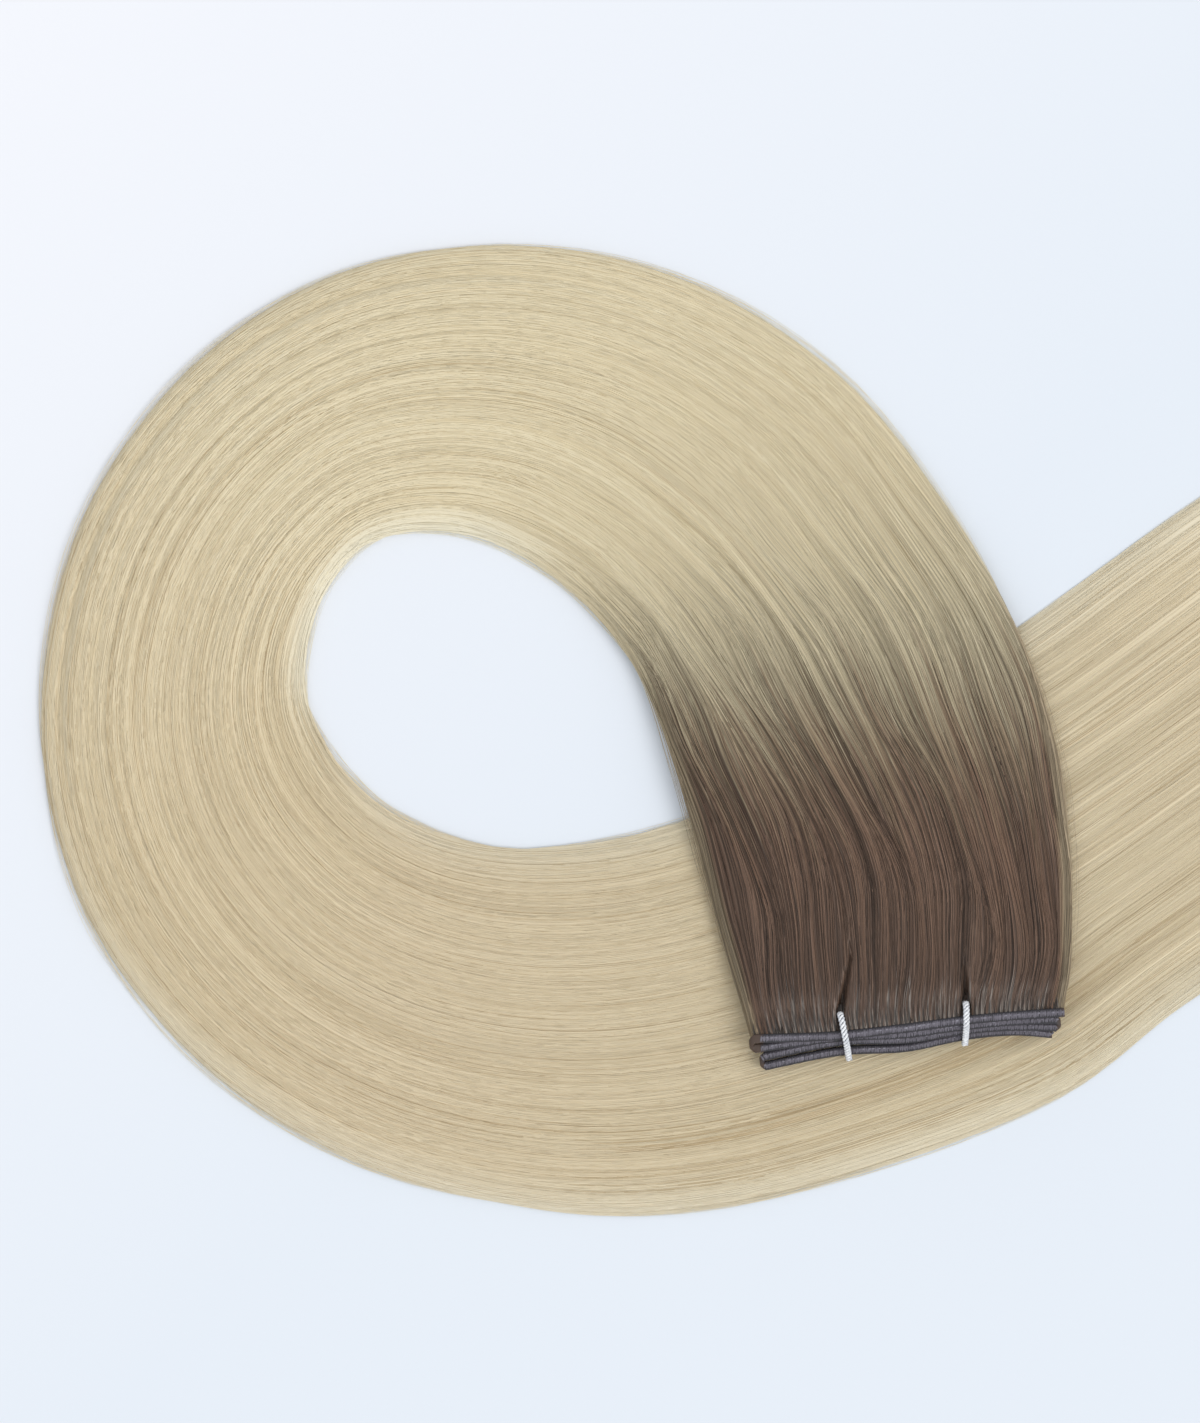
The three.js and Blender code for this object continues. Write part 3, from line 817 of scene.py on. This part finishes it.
def body_finish():
    finish = Finish("rooted_blond_hair")
    across, along, _ = finish.axes(finish.out("ShaderNodeUVMap", uv_map="flow"))

    # Lines of the flow, bent as the strands are
    bends = finish.levels(along, BEND_STOPS)
    bent = finish.math("MULTIPLY_ADD", finish.streak(across, along, BEND_STREAK), bends, across)
    inner_half = finish.rest(across)
    upright = finish.product(finish.within(along, STANDING, STAND), inner_half)
    inwards = finish.math("SUBTRACT", finish.within(along, SWEEPING, SWEEP), upright)
    bent = finish.math("MULTIPLY_ADD", inwards, finish.product(across, inner_half), bent)

    # Lightness, with painted shade between the combed tufts and painted highlight on them, at the stitches'
    # pitch by the band
    shade = 0.5
    for streak in STREAKS:
        shade = finish.math("ADD", shade, finish.streak(bent, along, streak))
    teeth = finish.math("COSINE", finish.product(across, TURN * COMB_TEETH))
    near_band = finish.levels(along, [(0.0, 1.0), (STITCHED_BY, 0.0)])
    shade = finish.math("MULTIPLY_ADD", finish.product(teeth, TUFT_PAINTED_SHADING), near_band, shade)

    # Dye, with painted light through the thin hair at the rims, and paler painted light at the edges
    thin = [(RIM_FULL, 1.0), (RIM_WIDTH, 0.0), (1 - RIM_WIDTH, 0.0), (1 - RIM_FULL, 1.0)]
    rim_light = finish.product(finish.levels(across, thin), RIM_LIGHT_PLACE)
    rim_light_dye = finish.math("DIVIDE", finish.math("SUBTRACT", rim_light, along), DYE_SPREAD)
    dye = finish.math("MAXIMUM", finish.streak(bent, along, DYE_STREAK), rim_light_dye)
    inner = [(PALE_FULL, 1.0), (PALE_WIDTH, 0.0)]
    loop_pale = finish.product(finish.within(along, LOOP_EYE, LOOP_PALE), finish.levels(across, inner))
    sides = inner + [(1 - PALE_WIDTH, 0.0), (1 - PALE_FULL, 1.0)]
    at_tail = finish.levels(along, zip(TAIL_RISES, (0.0, TAIL_PALE)))
    tail_pale = finish.product(at_tail, finish.levels(across, sides))
    colour = rooted_colour(finish, along, shade, dye, finish.math("MAXIMUM", loop_pale, tail_pale))
    # Painted shade on the body between the strands
    colour = finish.blend("MULTIPLY", 1.0, colour, CORE_PAINTED_SHADE)
    height = finish.streak(bent, along, BUMP_STREAK)
    inputs = {"Strength": 0.5, "Distance": BUMP_DEPTH * MM, "Height": height}
    bump = finish.out("ShaderNodeBump", inputs)
    return finish.set(Base_Color=colour, Normal=bump, **SHEEN)


CHARCOAL = [
    (0.0, srgb(36, 34, 38)),
    (0.2, srgb(58, 55, 61)),
    (0.6, srgb(118, 113, 122)),
    (1.0, srgb(180, 178, 188)),
]
BARE_ROOTS = srgb(76, 59, 49)


def band_finish():
    """Charcoal stitches, and brown roots where the band is folded or cut."""
    finish = Finish("charcoal_stitching")
    colour = finish.ramp(finish.attribute("shade"), CHARCOAL)
    colour = finish.blend("MIX", finish.attribute("bare"), colour, BARE_ROOTS)
    return finish.set(Base_Color=colour, Roughness=0.55, Specular_IOR_Level=0.5)


# White thread; its darker stops serve the painted shade of the plies underneath
WHITE = [(0.0, srgb(120, 121, 130)), (0.5, srgb(202, 204, 210)), (1.0, srgb(254, 254, 255))]


def thread_finish():
    finish = Finish("white_thread")
    colour = finish.ramp(finish.attribute("shade"), WHITE)
    return finish.set(Base_Color=colour, Roughness=0.28, Specular_IOR_Level=0.8)


# Painted light: the table's colour runs lighter towards the upper left, as if more light fell there
TABLE_PAINTED_LIGHT = [(0.3, srgb(231, 236, 243)), (0.75, srgb(244, 244, 248))]
PAINTED_LIGHT_SLOPE = 1.6  # for each metre towards the upper left
PAINTED_LIGHT_MIDDLE = 0.3


def floor_finish():
    """Pale table, with painted light making it a little whiter towards the upper left."""
    finish = Finish("pale_table")
    x, y, _ = finish.axes(finish.node("ShaderNodeTexCoord").outputs["Object"])
    slant = finish.math("MULTIPLY_ADD", finish.math("SUBTRACT", y, x), PAINTED_LIGHT_SLOPE, PAINTED_LIGHT_MIDDLE)
    return finish.set(Base_Color=finish.ramp(slant, TABLE_PAINTED_LIGHT), Roughness=0.6, Specular_IOR_Level=0.2)


STRANDS = strand_finish()
HAIR = body_finish()
BAND = band_finish()
THREAD = thread_finish()


# Hair

CORE_SINK = 0.05  # depth of the core under the skin
CORE_ROWS = 220
CORE_COLUMNS = 190
ROW_CROWDING = 1.35  # how much closer together rows are at the band

# Teeth in which the core ends among the free tips
TIPS_FROM = 0.966
TIPS_TO = 0.994
TIP_TEETH = 19
TEETH_START = 0.9  # share of the rows from which the teeth part
TEETH_FADE = 0.03  # share of the width at each side
TOOTH_SHIFT = 0.3
TOOTH_SHIFT_WAVES = 40
TOOTH_LENGTH = 0.7
TOOTH_LENGTH_SWING = 0.3
TOOTH_LENGTH_WAVES = 23
TOOTH_THINNING = 0.9
TOOTH_THINS_FROM = 0.972  # share of the rows


def rows_along(count):
    """Shares of the length, closer together at the band."""
    return np.linspace(0, 1, count) ** ROW_CROWDING


def hair_core():
    """The closed body of the hair under its strands."""
    across, rows = np.meshgrid(np.linspace(0, 1, CORE_COLUMNS), rows_along(CORE_ROWS))
    place = TIP_TEETH * across + TOOTH_SHIFT * np.sin(TOOTH_SHIFT_WAVES * across)
    tooth = 1 - np.abs(2 * (place % 1) - 1)
    tooth = tooth * smoothstep(np.minimum(across, 1 - across), 0, TEETH_FADE)
    length = TOOTH_LENGTH + TOOTH_LENGTH_SWING * np.sin(TOOTH_LENGTH_WAVES * across)
    ends = TIPS_FROM + (TIPS_TO - TIPS_FROM) * tooth * length
    along = rows * (TIPS_FROM + (ends - TIPS_FROM) * smoothstep(rows, TEETH_START, 1))
    points = skin(across, along, CORE_SINK)
    foot = points[..., 2] - np.maximum(flow_edges(along)[0][..., 2], 0)
    points[..., 2] -= foot * TOOTH_THINNING * smoothstep(rows, TOOTH_THINS_FROM, 1)
    core = mesh_object("hair_core", to_frame(points), tube_faces(CORE_ROWS, CORE_COLUMNS))
    store_flow(core, across, along)
    core.data.materials.append(HAIR)
    finish_piece(core, "hair", "hair")
    for face in core.data.polygons[(CORE_ROWS - 1) * (CORE_COLUMNS - 1):]:
        face.use_smooth = False


Growth = namedtuple(
    "Growth",
    "name strands steps starts lengths radius lift seed tip sinks wander drift sway stray edge shades sides",
    defaults=(0.95, (0.3, 0.3), 0.012, 0.02, 0.08, 0, 0, (0.2, 1), (0, 1)),
)
GROWTHS = [
    Growth("hair_long", 320, 96, (0, 0.1), (0.7, 1), 0.09, (-0.05, 0.01), 10, sinks=(0.1, 0.2), wander=0.002),
    Growth(
        "hair_rooted", 520, 44, (0, 0), (0.2, 0.6), 0.08, (-0.05, 0.04), 20,
        sinks=(0, 0.3), wander=0.008, shades=(0.1, 1),
    ),
    Growth("hair_middle", 480, 42, (0.08, 0.8), (0.22, 0.55), 0.08, (-0.05, 0.03), 30, wander=0.003),
    Growth("hair_far", 500, 24, (0.52, 0.76), (0.2, 0.42), 0.07, (-0.05, 0.02), 35, wander=0.003, drift=0.01),
    Growth("hair_fine", 520, 36, (0.02, 0.84), (0.2, 0.42), 0.055, (-0.02, 0.06), 40, wander=0.005, sway=0.1),
    # Painted shade: sparse dark strands drawn as the shaded gaps between locks
    Growth(
        "hair_gap_shade", 280, 26, (0, 0.85), (0.1, 0.32), 0.05, (-0.01, 0.04), 50,
        sinks=(0.15, 0.15), wander=0.003, shades=(0, 0.03),
    ),
    Growth(
        "hair_tan", 100, 28, (0.22, 0.76), (0.12, 0.3), 0.055, (0.0, 0.05), 55,
        sinks=(0.15, 0.15), wander=0.008, shades=(-0.3, 0),
    ),
    # Dark tan strands laid in the two furrows past the band: painted shade that deepens the furrows' own
    # shadow
    Growth(
        "hair_parting_shade", 44, 22, (0.66, 0.74), (0.1, 0.2), 0.06, (0.0, 0.04), 57,
        sinks=(0.15, 0.15), wander=0.012, drift=0.01, shades=(-0.3, 0), sides=(0.78, 0.83),
    ),
    Growth(
        "hair_low_parting_shade", 30, 22, (0.66, 0.72), (0.1, 0.18), 0.055, (0.0, 0.04), 58,
        sinks=(0.15, 0.15), wander=0.012, drift=0.01, shades=(-0.3, 0), sides=(0.87, 0.94),
    ),
    Growth(
        "hair_stray", 70, 40, (0.02, 0.8), (0.15, 0.4), 0.05, (0.05, 0.15), 60,
        sinks=(0.4, 0.4), wander=0.05, stray=1.2,
    ),
    Growth("hair_crossing", 150, 24, (0, 0.12), (0.1, 0.25), 0.05, (0.03, 0.1), 65, wander=0.07),
    Growth(
        "hair_edge", 90, 40, (0, 0.8), (0.12, 0.35), 0.035, (-0.05, 0.05), 70,
        wander=0.02, drift=0, sway=0, stray=6.0, edge=0.97, shades=(0.5, 1),
    ),
    Growth(
        "hair_fringe", 220, 20, (0.58, 0.84), (0.12, 0.28), 0.035, (-0.05, 0.05), 72,
        wander=0.02, drift=0, sway=0, stray=4.0, edge=0.97, shades=(0.5, 1),
    ),
    Growth(
        "hair_tips", 440, 12, (0.88, 0.95), (0.2, 0.3), 0.1, (-1.0, 0.02), 75,
        tip=0.965, sinks=(0.2, 0), sway=0, shades=(0.3, 1),
    ),
]


def growth_values(growth):
    return {
        "Strands": growth.strands,
        "Steps": growth.steps,
        "Seed": growth.seed,
        "First Start": growth.starts[0],
        "Last Start": growth.starts[1],
        "Shortest": growth.lengths[0],
        "Longest": growth.lengths[1],
        "Shortest Tip": growth.tip,
        "Radius": growth.radius * MM,
        "Low Lift": growth.lift[0] * MM,
        "High Lift": growth.lift[1] * MM,
        "Start Sink": growth.sinks[0] * MM,
        "End Sink": growth.sinks[1] * MM,
        "Wander": growth.wander,
        "Drift": growth.drift,
        "Root Sway": growth.sway,
        "Stray": growth.stray * MM,
        "Edge Pull": growth.edge,
        "Inner Side": float(growth.sides[0]),
        "Outer Side": float(growth.sides[1]),
        "Darkest": growth.shades[0],
        "Lightest": growth.shades[1],
        "Comb Count": float(COMB_TEETH),
        "Comb Until": STITCHED_BY,
        "Tips From": TIPS_GATHER_FROM,
        "Colour Length": 1.0,
        "Rim Light Place": RIM_LIGHT_PLACE,
        "Painted Edge Light": 1.0,
        "Sweep": 1.0,
        "Material": STRANDS,
    }


SHEET_ROWS = 320
SHEET_COLUMNS = 260


def hair_strands():
    across, along = np.meshgrid(np.linspace(0, 1, SHEET_COLUMNS), rows_along(SHEET_ROWS))
    sheet = sheet_object("flow_sheet", skin(across, along), across, along)
    tree = strand_tree()
    for growth in GROWTHS:
        finish_piece(grow(growth.name, tree, sheet, growth_values(growth)), "hair")
    bpy.data.objects.remove(sheet)
    return tree


# Curtains: the hair between each layer of the band and the hair above

CURTAIN_TOP = 5.0
CURTAIN_FOOT = 0.3  # how far under the band's upper edge a curtain starts
CURTAIN_INSET = 0.2
CURTAIN_SINK = 0.7  # how far a curtain goes down into the hair at its upper end
CURTAIN_COLUMNS = 60
CURTAIN_ROWS = 12
# The curtains' strands take only the darkest tones, painted shade for the gaps between the band's layers
# where they show
CURTAIN = Growth(
    "hair_curtain", 260, 7, (0, 0), (1, 1), 0.12, (-0.28, 0.2), 80,
    tip=0.99, sinks=(0, 0), wander=0.01, drift=0.01, sway=0, shades=(0, 0.3),
)
CURTAIN_VALUES = {
    **growth_values(CURTAIN),
    "Comb Count": float(CURTAIN.strands),
    "Tips From": LAST_TIP,
    "Colour Length": 0.01,
    "Rim Light Place": 0.0,
    "Painted Edge Light": 0.0,
    "Sweep": 0.0,
}


def layer_middle(layer):
    return BAND_TOP - BAND_THICKNESS / 2 - layer * LAYER_PITCH


def drop_at(layer, place):
    """Drop of a layer's upper edge, on the smooth curve through its drops."""
    knots = np.array(DROP_AT, float)
    drops = np.array(LAYERS[layer].drops)
    slopes = np.diff(drops) / np.diff(knots)
    slopes = np.r_[slopes[0], (slopes[1:] + slopes[:-1]) / 2, slopes[-1]]
    first = np.clip(np.searchsorted(knots, place) - 1, 0, len(knots) - 2)
    span = knots[first + 1] - knots[first]
    share = (place - knots[first]) / span
    rest = 1 - share
    return (
        drops[first] * (1 + 2 * share) * rest**2
        + drops[first + 1] * (1 + 2 * rest) * share**2
        + slopes[first] * span * share * rest**2
        - slopes[first + 1] * span * rest * share**2
    )


def from_band(along_band, up, height):
    """Points given along the band, up from its edge and above the floor."""
    x = BAND_MIDDLE[0] + along_band * math.cos(BAND_TILT) - up * math.sin(BAND_TILT)
    y = BAND_MIDDLE[1] + along_band * math.sin(BAND_TILT) + up * math.cos(BAND_TILT)
    return np.stack([x, y, height + np.zeros_like(x)], axis=-1)


def curtains(tree):
    across, along = np.meshgrid(np.linspace(0, 1, CURTAIN_COLUMNS), np.linspace(0, 1, CURTAIN_ROWS))
    for layer, (left, right, _) in enumerate(LAYERS):
        place = left + CURTAIN_INSET + (right - left - 2 * CURTAIN_INSET) * across
        foot = -drop_at(layer, place) - CURTAIN_FOOT
        up = foot + (CURTAIN_TOP - foot) * along
        points = from_band(place, up, layer_middle(layer) - CURTAIN_SINK * along)
        sheet = sheet_object("curtain_sheet", points, across, along)
        values = {**CURTAIN_VALUES, "Seed": CURTAIN.seed + layer}
        finish_piece(grow(f"{CURTAIN.name}_{layer + 1}", tree, sheet, values), "hair")
        bpy.data.objects.remove(sheet)


# Band

BAND_STEPS = 60
FOLD_STEPS = 10
BAND_CORNER = 0.3
CORNER_STEPS = 4
CLOTH_AND_GAP_SHADE = 0.1  # of the band between its stitches: partly its own dark charcoal, partly painted shade in the gaps and along the layers' edges
BARE_FOLD = 2.3  # how far from the first fold the hair's roots show


def band_path():
    """Place along the band, height, drop of the upper edge and turn of the face, along the folded band."""
    radius = LAYER_PITCH / 2
    reach = radius + BAND_THICKNESS / 2
    path = []
    for layer, (left, right, _) in enumerate(LAYERS):
        leftward = layer % 2 == 0
        is_last = layer == LAYER_COUNT - 1
        low = left + reach
        high = right if layer == 0 or is_last else right - reach
        start, end = (high, low) if leftward else (low, high)
        for place in np.linspace(start, end, BAND_STEPS):
            path.append((place, layer_middle(layer), drop_at(layer, place), 0 if leftward else math.pi))
        if is_last:
            continue
        sense = 1 if leftward else -1
        for angle in np.linspace(0, math.pi, FOLD_STEPS + 2)[1:-1]:
            share = angle / math.pi
            drop = drop_at(layer, end) * (1 - share) + drop_at(layer + 1, end) * share
            place = end - sense * radius * math.sin(angle)
            height = layer_middle(layer) - radius * (1 - math.cos(angle))
            path.append((place, height, drop, angle if leftward else math.pi - angle))
    return np.array(path)


def band_outline():
    """The band's section as distance down and out, round its corners."""
    corners = []
    half = BAND_THICKNESS / 2
    for down, out, start in (
        (BAND_CORNER, half - BAND_CORNER, 90),
        (BAND_CORNER, -half + BAND_CORNER, 180),
        (BAND_HEIGHT - BAND_CORNER, -half + BAND_CORNER, 270),
        (BAND_HEIGHT - BAND_CORNER, half - BAND_CORNER, 0),
    ):
        for turn in np.radians(np.linspace(start, start + 90, CORNER_STEPS)):
            corners.append((down + BAND_CORNER * math.cos(turn), out + BAND_CORNER * math.sin(turn)))
    return np.array(corners)


def band_points(down, out, path):
    """Points at a distance down from the upper edge and out from the band's middle."""
    place, height, drop, turn = path.T[..., None]
    return from_band(
        place - out * np.sin(turn),
        -drop - down + np.zeros_like(place),
        height + out * np.cos(turn),
    )


def near_first_fold(path):
    """Which places of the path lie by the fold of the top two layers."""
    row = np.arange(len(path))
    top_two = row < 2 * BAND_STEPS + FOLD_STEPS
    return top_two & (path[:, 0] < LAYERS[0].left + BARE_FOLD)


def band_body():
    outline = band_outline()
    path = band_path()
    points = band_points(outline[:, 0], outline[:, 1], path)
    rows, columns = points.shape[:2]
    body = mesh_object("band_core", to_frame(points), tube_faces(rows, columns))
    bare = np.sin(path[:, 3])
    bare[[0, -1]] = 1
    bare[near_first_fold(path)] = 1
    store(body, "shade", np.full((rows, columns), CLOTH_AND_GAP_SHADE))
    store(body, "bare", np.repeat(bare, columns))
    body.data.materials.append(BAND)
    finish_piece(body, "band", "weft_band")


# Stitches lie in rows on the band's faces

STITCH_SEED = 70
STITCH_SPACING = (0.3, 0.7)  # where in its pitch a stitch may lie
STITCH_SIZES = (0.85, 1.15)
STITCH_STEP = 0.002  # share of the band over which a stitch takes its direction
ROW_SCATTER = 0.02
ROW_WAVER = 0.16
ROW_WAVES = Waves(40, 1)
PATCH_SHADE = 0.16
PATCH_WAVES = Waves(60, 1)
SEWN_UPRIGHT = 0.8  # how far a face has to lie flat to be sewn
FACE_COLUMNS = 7
BLUNT_TURN = math.radians(18)  # turns a bead so that no corner of it points along the stitch
SPACING_DRAW, ROW_DRAW, TONE_DRAW, SIZE_DRAW = range(1, 5)
STITCH_MEASURES = ("Row", "Length", "Width", "Height", "Lean", "Dark", "Light", "Bare From", "Bare To")


def stitch_tree():
    tree = Tree("stitches", ("Stitches", "Seed"), STITCH_MEASURES)
    given = tree.given
    stitch = tree.index
    spaced = tree.math("ADD", stitch, tree.chance(*STITCH_SPACING, stitch, SPACING_DRAW))
    along = tree.math("DIVIDE", spaced, given["Stitches"])
    waver = tree.product(tree.waver(along, given["Row"], ROW_WAVES), ROW_WAVER)
    scatter = tree.chance(-ROW_SCATTER, ROW_SCATTER, stitch, ROW_DRAW)
    row = tree.math("ADD", tree.math("ADD", given["Row"], waver), scatter)
    place, outward = tree.seat(row, along)
    ahead = tree.seat(row, tree.math("ADD", along, STITCH_STEP))[0]
    onward = tree.add(ahead, tree.scale(place, -1.0))
    points = tree.out("GeometryNodePoints", {0: given["Stitches"], 1: place})
    patch = tree.product(tree.waver(along, given["Row"], PATCH_WAVES), PATCH_SHADE)
    tone = tree.chance(given["Dark"], given["Light"], stitch, TONE_DRAW)
    points = tree.keep(points, "shade", tree.math("ADD", patch, tone))
    upright = tree.math("ABSOLUTE", tree.axes(outward)[2])
    flat = tree.math("GREATER_THAN", upright, SEWN_UPRIGHT)
    before = tree.math("LESS_THAN", along, given["Bare From"])
    after = tree.math("GREATER_THAN", along, given["Bare To"])
    sewn = tree.product(flat, tree.math("MAXIMUM", before, after))
    facing = tree.out("FunctionNodeAxesToRotation", {0: outward, 1: onward})
    lean = tree.out("FunctionNodeAxisAngleToRotation", {0: (0, 0, 1), 1: given["Lean"]})
    turned = tree.out("FunctionNodeRotateRotation", {0: facing, 1: lean}, rotation_space="LOCAL")
    bead = tree.out("GeometryNodeMeshIcoSphere", {0: 0.5, 1: 1})
    blunt = {"Geometry": bead, "Rotation": (0, 0, BLUNT_TURN)}
    bead = tree.out("GeometryNodeTransform", blunt)
    size = tree.vector(given["Length"], given["Width"], given["Height"])
    size = tree.scale(size, tree.chance(*STITCH_SIZES, stitch, SIZE_DRAW))
    inputs = {0: points, 1: sewn, 2: bead, 5: turned, 6: size}
    return tree.finish(tree.out("GeometryNodeInstanceOnPoints", inputs))


StitchRow = namedtuple("StitchRow", "name row pitch length width height lean dark light")
STITCH_ROWS = [
    StitchRow("wraps", 0.5, 0.34, 1.35, 0.42, 0.28, 1.45, 0.46, 0.6),
    StitchRow("beads", 0.42, 0.9, 0.85, 0.4, 0.36, 0.08, 0.54, 0.72),
]
SIDES = {"front": 1, "back": -1}


def band_stitches():
    path = band_path()
    onward = np.cumsum(np.r_[0, np.linalg.norm(np.diff(path[:, :2], axis=0), axis=1)])
    unfolded = onward[-1]
    bare = onward[near_first_fold(path)] / unfolded
    tree = stitch_tree()
    for side, sign in SIDES.items():
        down = np.linspace(0, BAND_HEIGHT, FACE_COLUMNS)
        points = band_points(down, np.full_like(down, sign * BAND_THICKNESS / 2), path)
        across, along = np.meshgrid(np.linspace(0, 1, len(down)), onward / unfolded)
        sheet = sheet_object("face_sheet", points, across, along)
        if sign > 0:
            sheet.data.flip_normals()
        for number, row in enumerate(STITCH_ROWS):
            values = {
                "Stitches": int(unfolded / row.pitch),
                "Seed": STITCH_SEED + number,
                "Row": row.row,
                "Length": row.length * MM,
                "Width": row.width * MM,
                "Height": row.height * MM,
                "Lean": row.lean,
                "Dark": row.dark,
                "Light": row.light,
                "Bare From": bare[0],
                "Bare To": bare[-1],
                "Material": BAND,
            }
            finish_piece(grow(f"stitch_{row.name}_{side}", tree, sheet, values), "band")
        bpy.data.objects.remove(sheet)


# Tying threads: three plies twisted along a loop round the band

PLIES = 3
PLY_RADIUS = 0.23
PLY_SIDES = 8
PLY_PAINTED_SHADING = 0.35  # painted shading: how much lighter a ply is on top, and darker underneath
FIBRE_TONES_AND_GLINTS = (0.3, 0.8)
THREAD_SEED = 5
TWISTS = 11
THREAD_POINTS = 240
ROUTE_POINTS = 120


def thread_tree():
    tree = Tree("thread", ("Points", "Seed"), ("Radius", "Twists", "Spread", "Depth"))
    given = tree.given
    route = tree.out("GeometryNodeMeshToCurve", {0: given["Geometry"]})
    route = tree.out("GeometryNodeResampleCurve", {0: route, 2: given["Points"]})
    copies = tree.node("GeometryNodeDuplicateElements", {0: route, 2: PLIES}, domain="SPLINE")
    factor = tree.out("GeometryNodeSplineParameter")
    tangent = tree.out("GeometryNodeInputTangent")
    sideways = (math.cos(BAND_TILT), math.sin(BAND_TILT), 0.0)
    axes = {0: tangent, 1: sideways}
    outward = tree.out("ShaderNodeVectorMath", axes, operation="CROSS_PRODUCT")
    ply = tree.math("DIVIDE", copies.outputs[1], float(PLIES))
    angle = tree.product(tree.math("MULTIPLY_ADD", factor, given["Twists"], ply), TURN)
    wide = tree.scale(sideways, tree.product(tree.math("COSINE", angle), given["Spread"]))
    deep = tree.scale(outward, tree.product(tree.math("SINE", angle), given["Depth"]))
    plies = tree.node("GeometryNodeSetPosition", {0: copies.outputs[0], 3: tree.add(wide, deep)}).outputs[0]
    # Painted shading: each ply lighter on top and darker underneath, plus a random fibre tone that also
    # paints glints along it
    fibre_tone_and_glint = tree.chance(*FIBRE_TONES_AND_GLINTS, tree.index, 0)
    plies = tree.keep(plies, "shade", tree.math("MULTIPLY_ADD", tree.math("SINE", angle), PLY_PAINTED_SHADING, fibre_tone_and_glint))
    return tree.finish(tree.tubes(plies, PLY_SIDES, given["Radius"]))


def tie_route(tie):
    """The loop round the folded band, up the hair and above the floor."""
    lowest = drop_at(LAYER_COUNT - 1, tie.at) + BAND_HEIGHT + THREAD_CLEAR
    top_edge = drop_at(0, tie.at) + BAND_HEIGHT
    high = BAND_TOP + THREAD_CLEAR
    low = BAND_UNDERSIDE - THREAD_CLEAR
    bottom = layer_middle(LAYER_COUNT - 1)
    corners = np.array([
        (tie.reach, (high + low) / 2),
        (tie.reach - THREAD_CLEAR, high - THREAD_CLEAR / 4),
        (0, high + THREAD_CLEAR / 4),
        (-top_edge - THREAD_CLEAR / 2, high - THREAD_CLEAR / 4),
        (-lowest + THREAD_CLEAR / 4, bottom + THREAD_CLEAR),
        (-lowest, bottom),
        (-lowest + THREAD_CLEAR, low),
        (0, low),
        (tie.reach - THREAD_CLEAR, low),
    ])
    ring = np.vstack([corners[-2:], corners, corners[:3]])
    steps = len(ring) - 1
    inside = np.linspace(2 / steps, (len(corners) + 2) / steps, ROUTE_POINTS, endpoint=False)
    up, height = spline(ring, inside).T
    lean = (tie.foot - tie.at) / (tie.reach + lowest)
    return from_band(tie.at + lean * (tie.reach - up), up, height)


def ties():
    tree = thread_tree()
    for tie in TIES:
        points = to_frame(tie_route(tie))
        route = mesh_object(tie.name + "_route", points, [])
        route.data.edges.add(len(points))
        links = [(place, (place + 1) % len(points)) for place in range(len(points))]
        route.data.edges.foreach_set("vertices", np.array(links, np.int32).ravel())
        values = {
            "Points": THREAD_POINTS,
            "Seed": THREAD_SEED,
            "Radius": PLY_RADIUS * MM,
            "Twists": float(TWISTS),
            "Spread": (THREAD_WIDTH / 2 - PLY_RADIUS) * MM,
            "Depth": (THREAD_THICKNESS / 2 - PLY_RADIUS) * MM,
            "Material": THREAD,
        }
        made = grow(tie.name + "_thread", tree, route, values)
        finish_piece(made, "thread", tie.name)
        bpy.data.objects.remove(route)


# Table, light and camera

WINDOW_FROM = Vector((0.75, -0.3, 0.95))
WINDOW_STRENGTH = 1.02
WINDOW_COLOUR = (1.0, 0.985, 0.96)
WINDOW_ANGLE = 0.7
ROOM_STRENGTH = 0.82
ROOM_COLOUR = (0.93, 0.965, 1.0, 1)
TABLE_HALF = 3.0
TABLE_TOP = -0.0001


def studio():
    sides = [(-1, -1), (1, -1), (1, 1), (-1, 1)]
    corners = [(x * TABLE_HALF, y * TABLE_HALF, TABLE_TOP) for x, y in sides]
    floor = mesh_object("table", corners, [(0, 1, 2, 3)])
    floor.data.materials.append(floor_finish())
    lamp = bpy.data.lights.new("window", "SUN")
    lamp.energy = WINDOW_STRENGTH
    lamp.angle = WINDOW_ANGLE
    lamp.color = WINDOW_COLOUR
    window = bpy.data.objects.new("window", lamp)
    window.rotation_euler = WINDOW_FROM.to_track_quat("Z", "Y").to_euler()
    SCENE.collection.objects.link(window)
    world = bpy.data.worlds.new("room")
    world.use_nodes = True
    room = world.node_tree.nodes["Background"].inputs
    room["Color"].default_value = ROOM_COLOUR
    room["Strength"].default_value = ROOM_STRENGTH
    SCENE.world = world
    SCENE.view_settings.view_transform = "Standard"


def camera():
    """Straight above, with the top of the photo towards +Y."""
    lens = bpy.data.cameras.new("camera")
    lens.lens = LENS
    lens.sensor_width = SENSOR
    made = bpy.data.objects.new("camera", lens)
    SCENE.collection.objects.link(made)
    height = PHOTO_HEIGHT * MM_PER_PIXEL * MM * LENS / SENSOR
    made.location = (SHIFT[0] * MM, SHIFT[1] * MM, height)
    SCENE.camera = made


camera()
studio()
hair_core()
curtains(hair_strands())
band_body()
band_stitches()
ties()
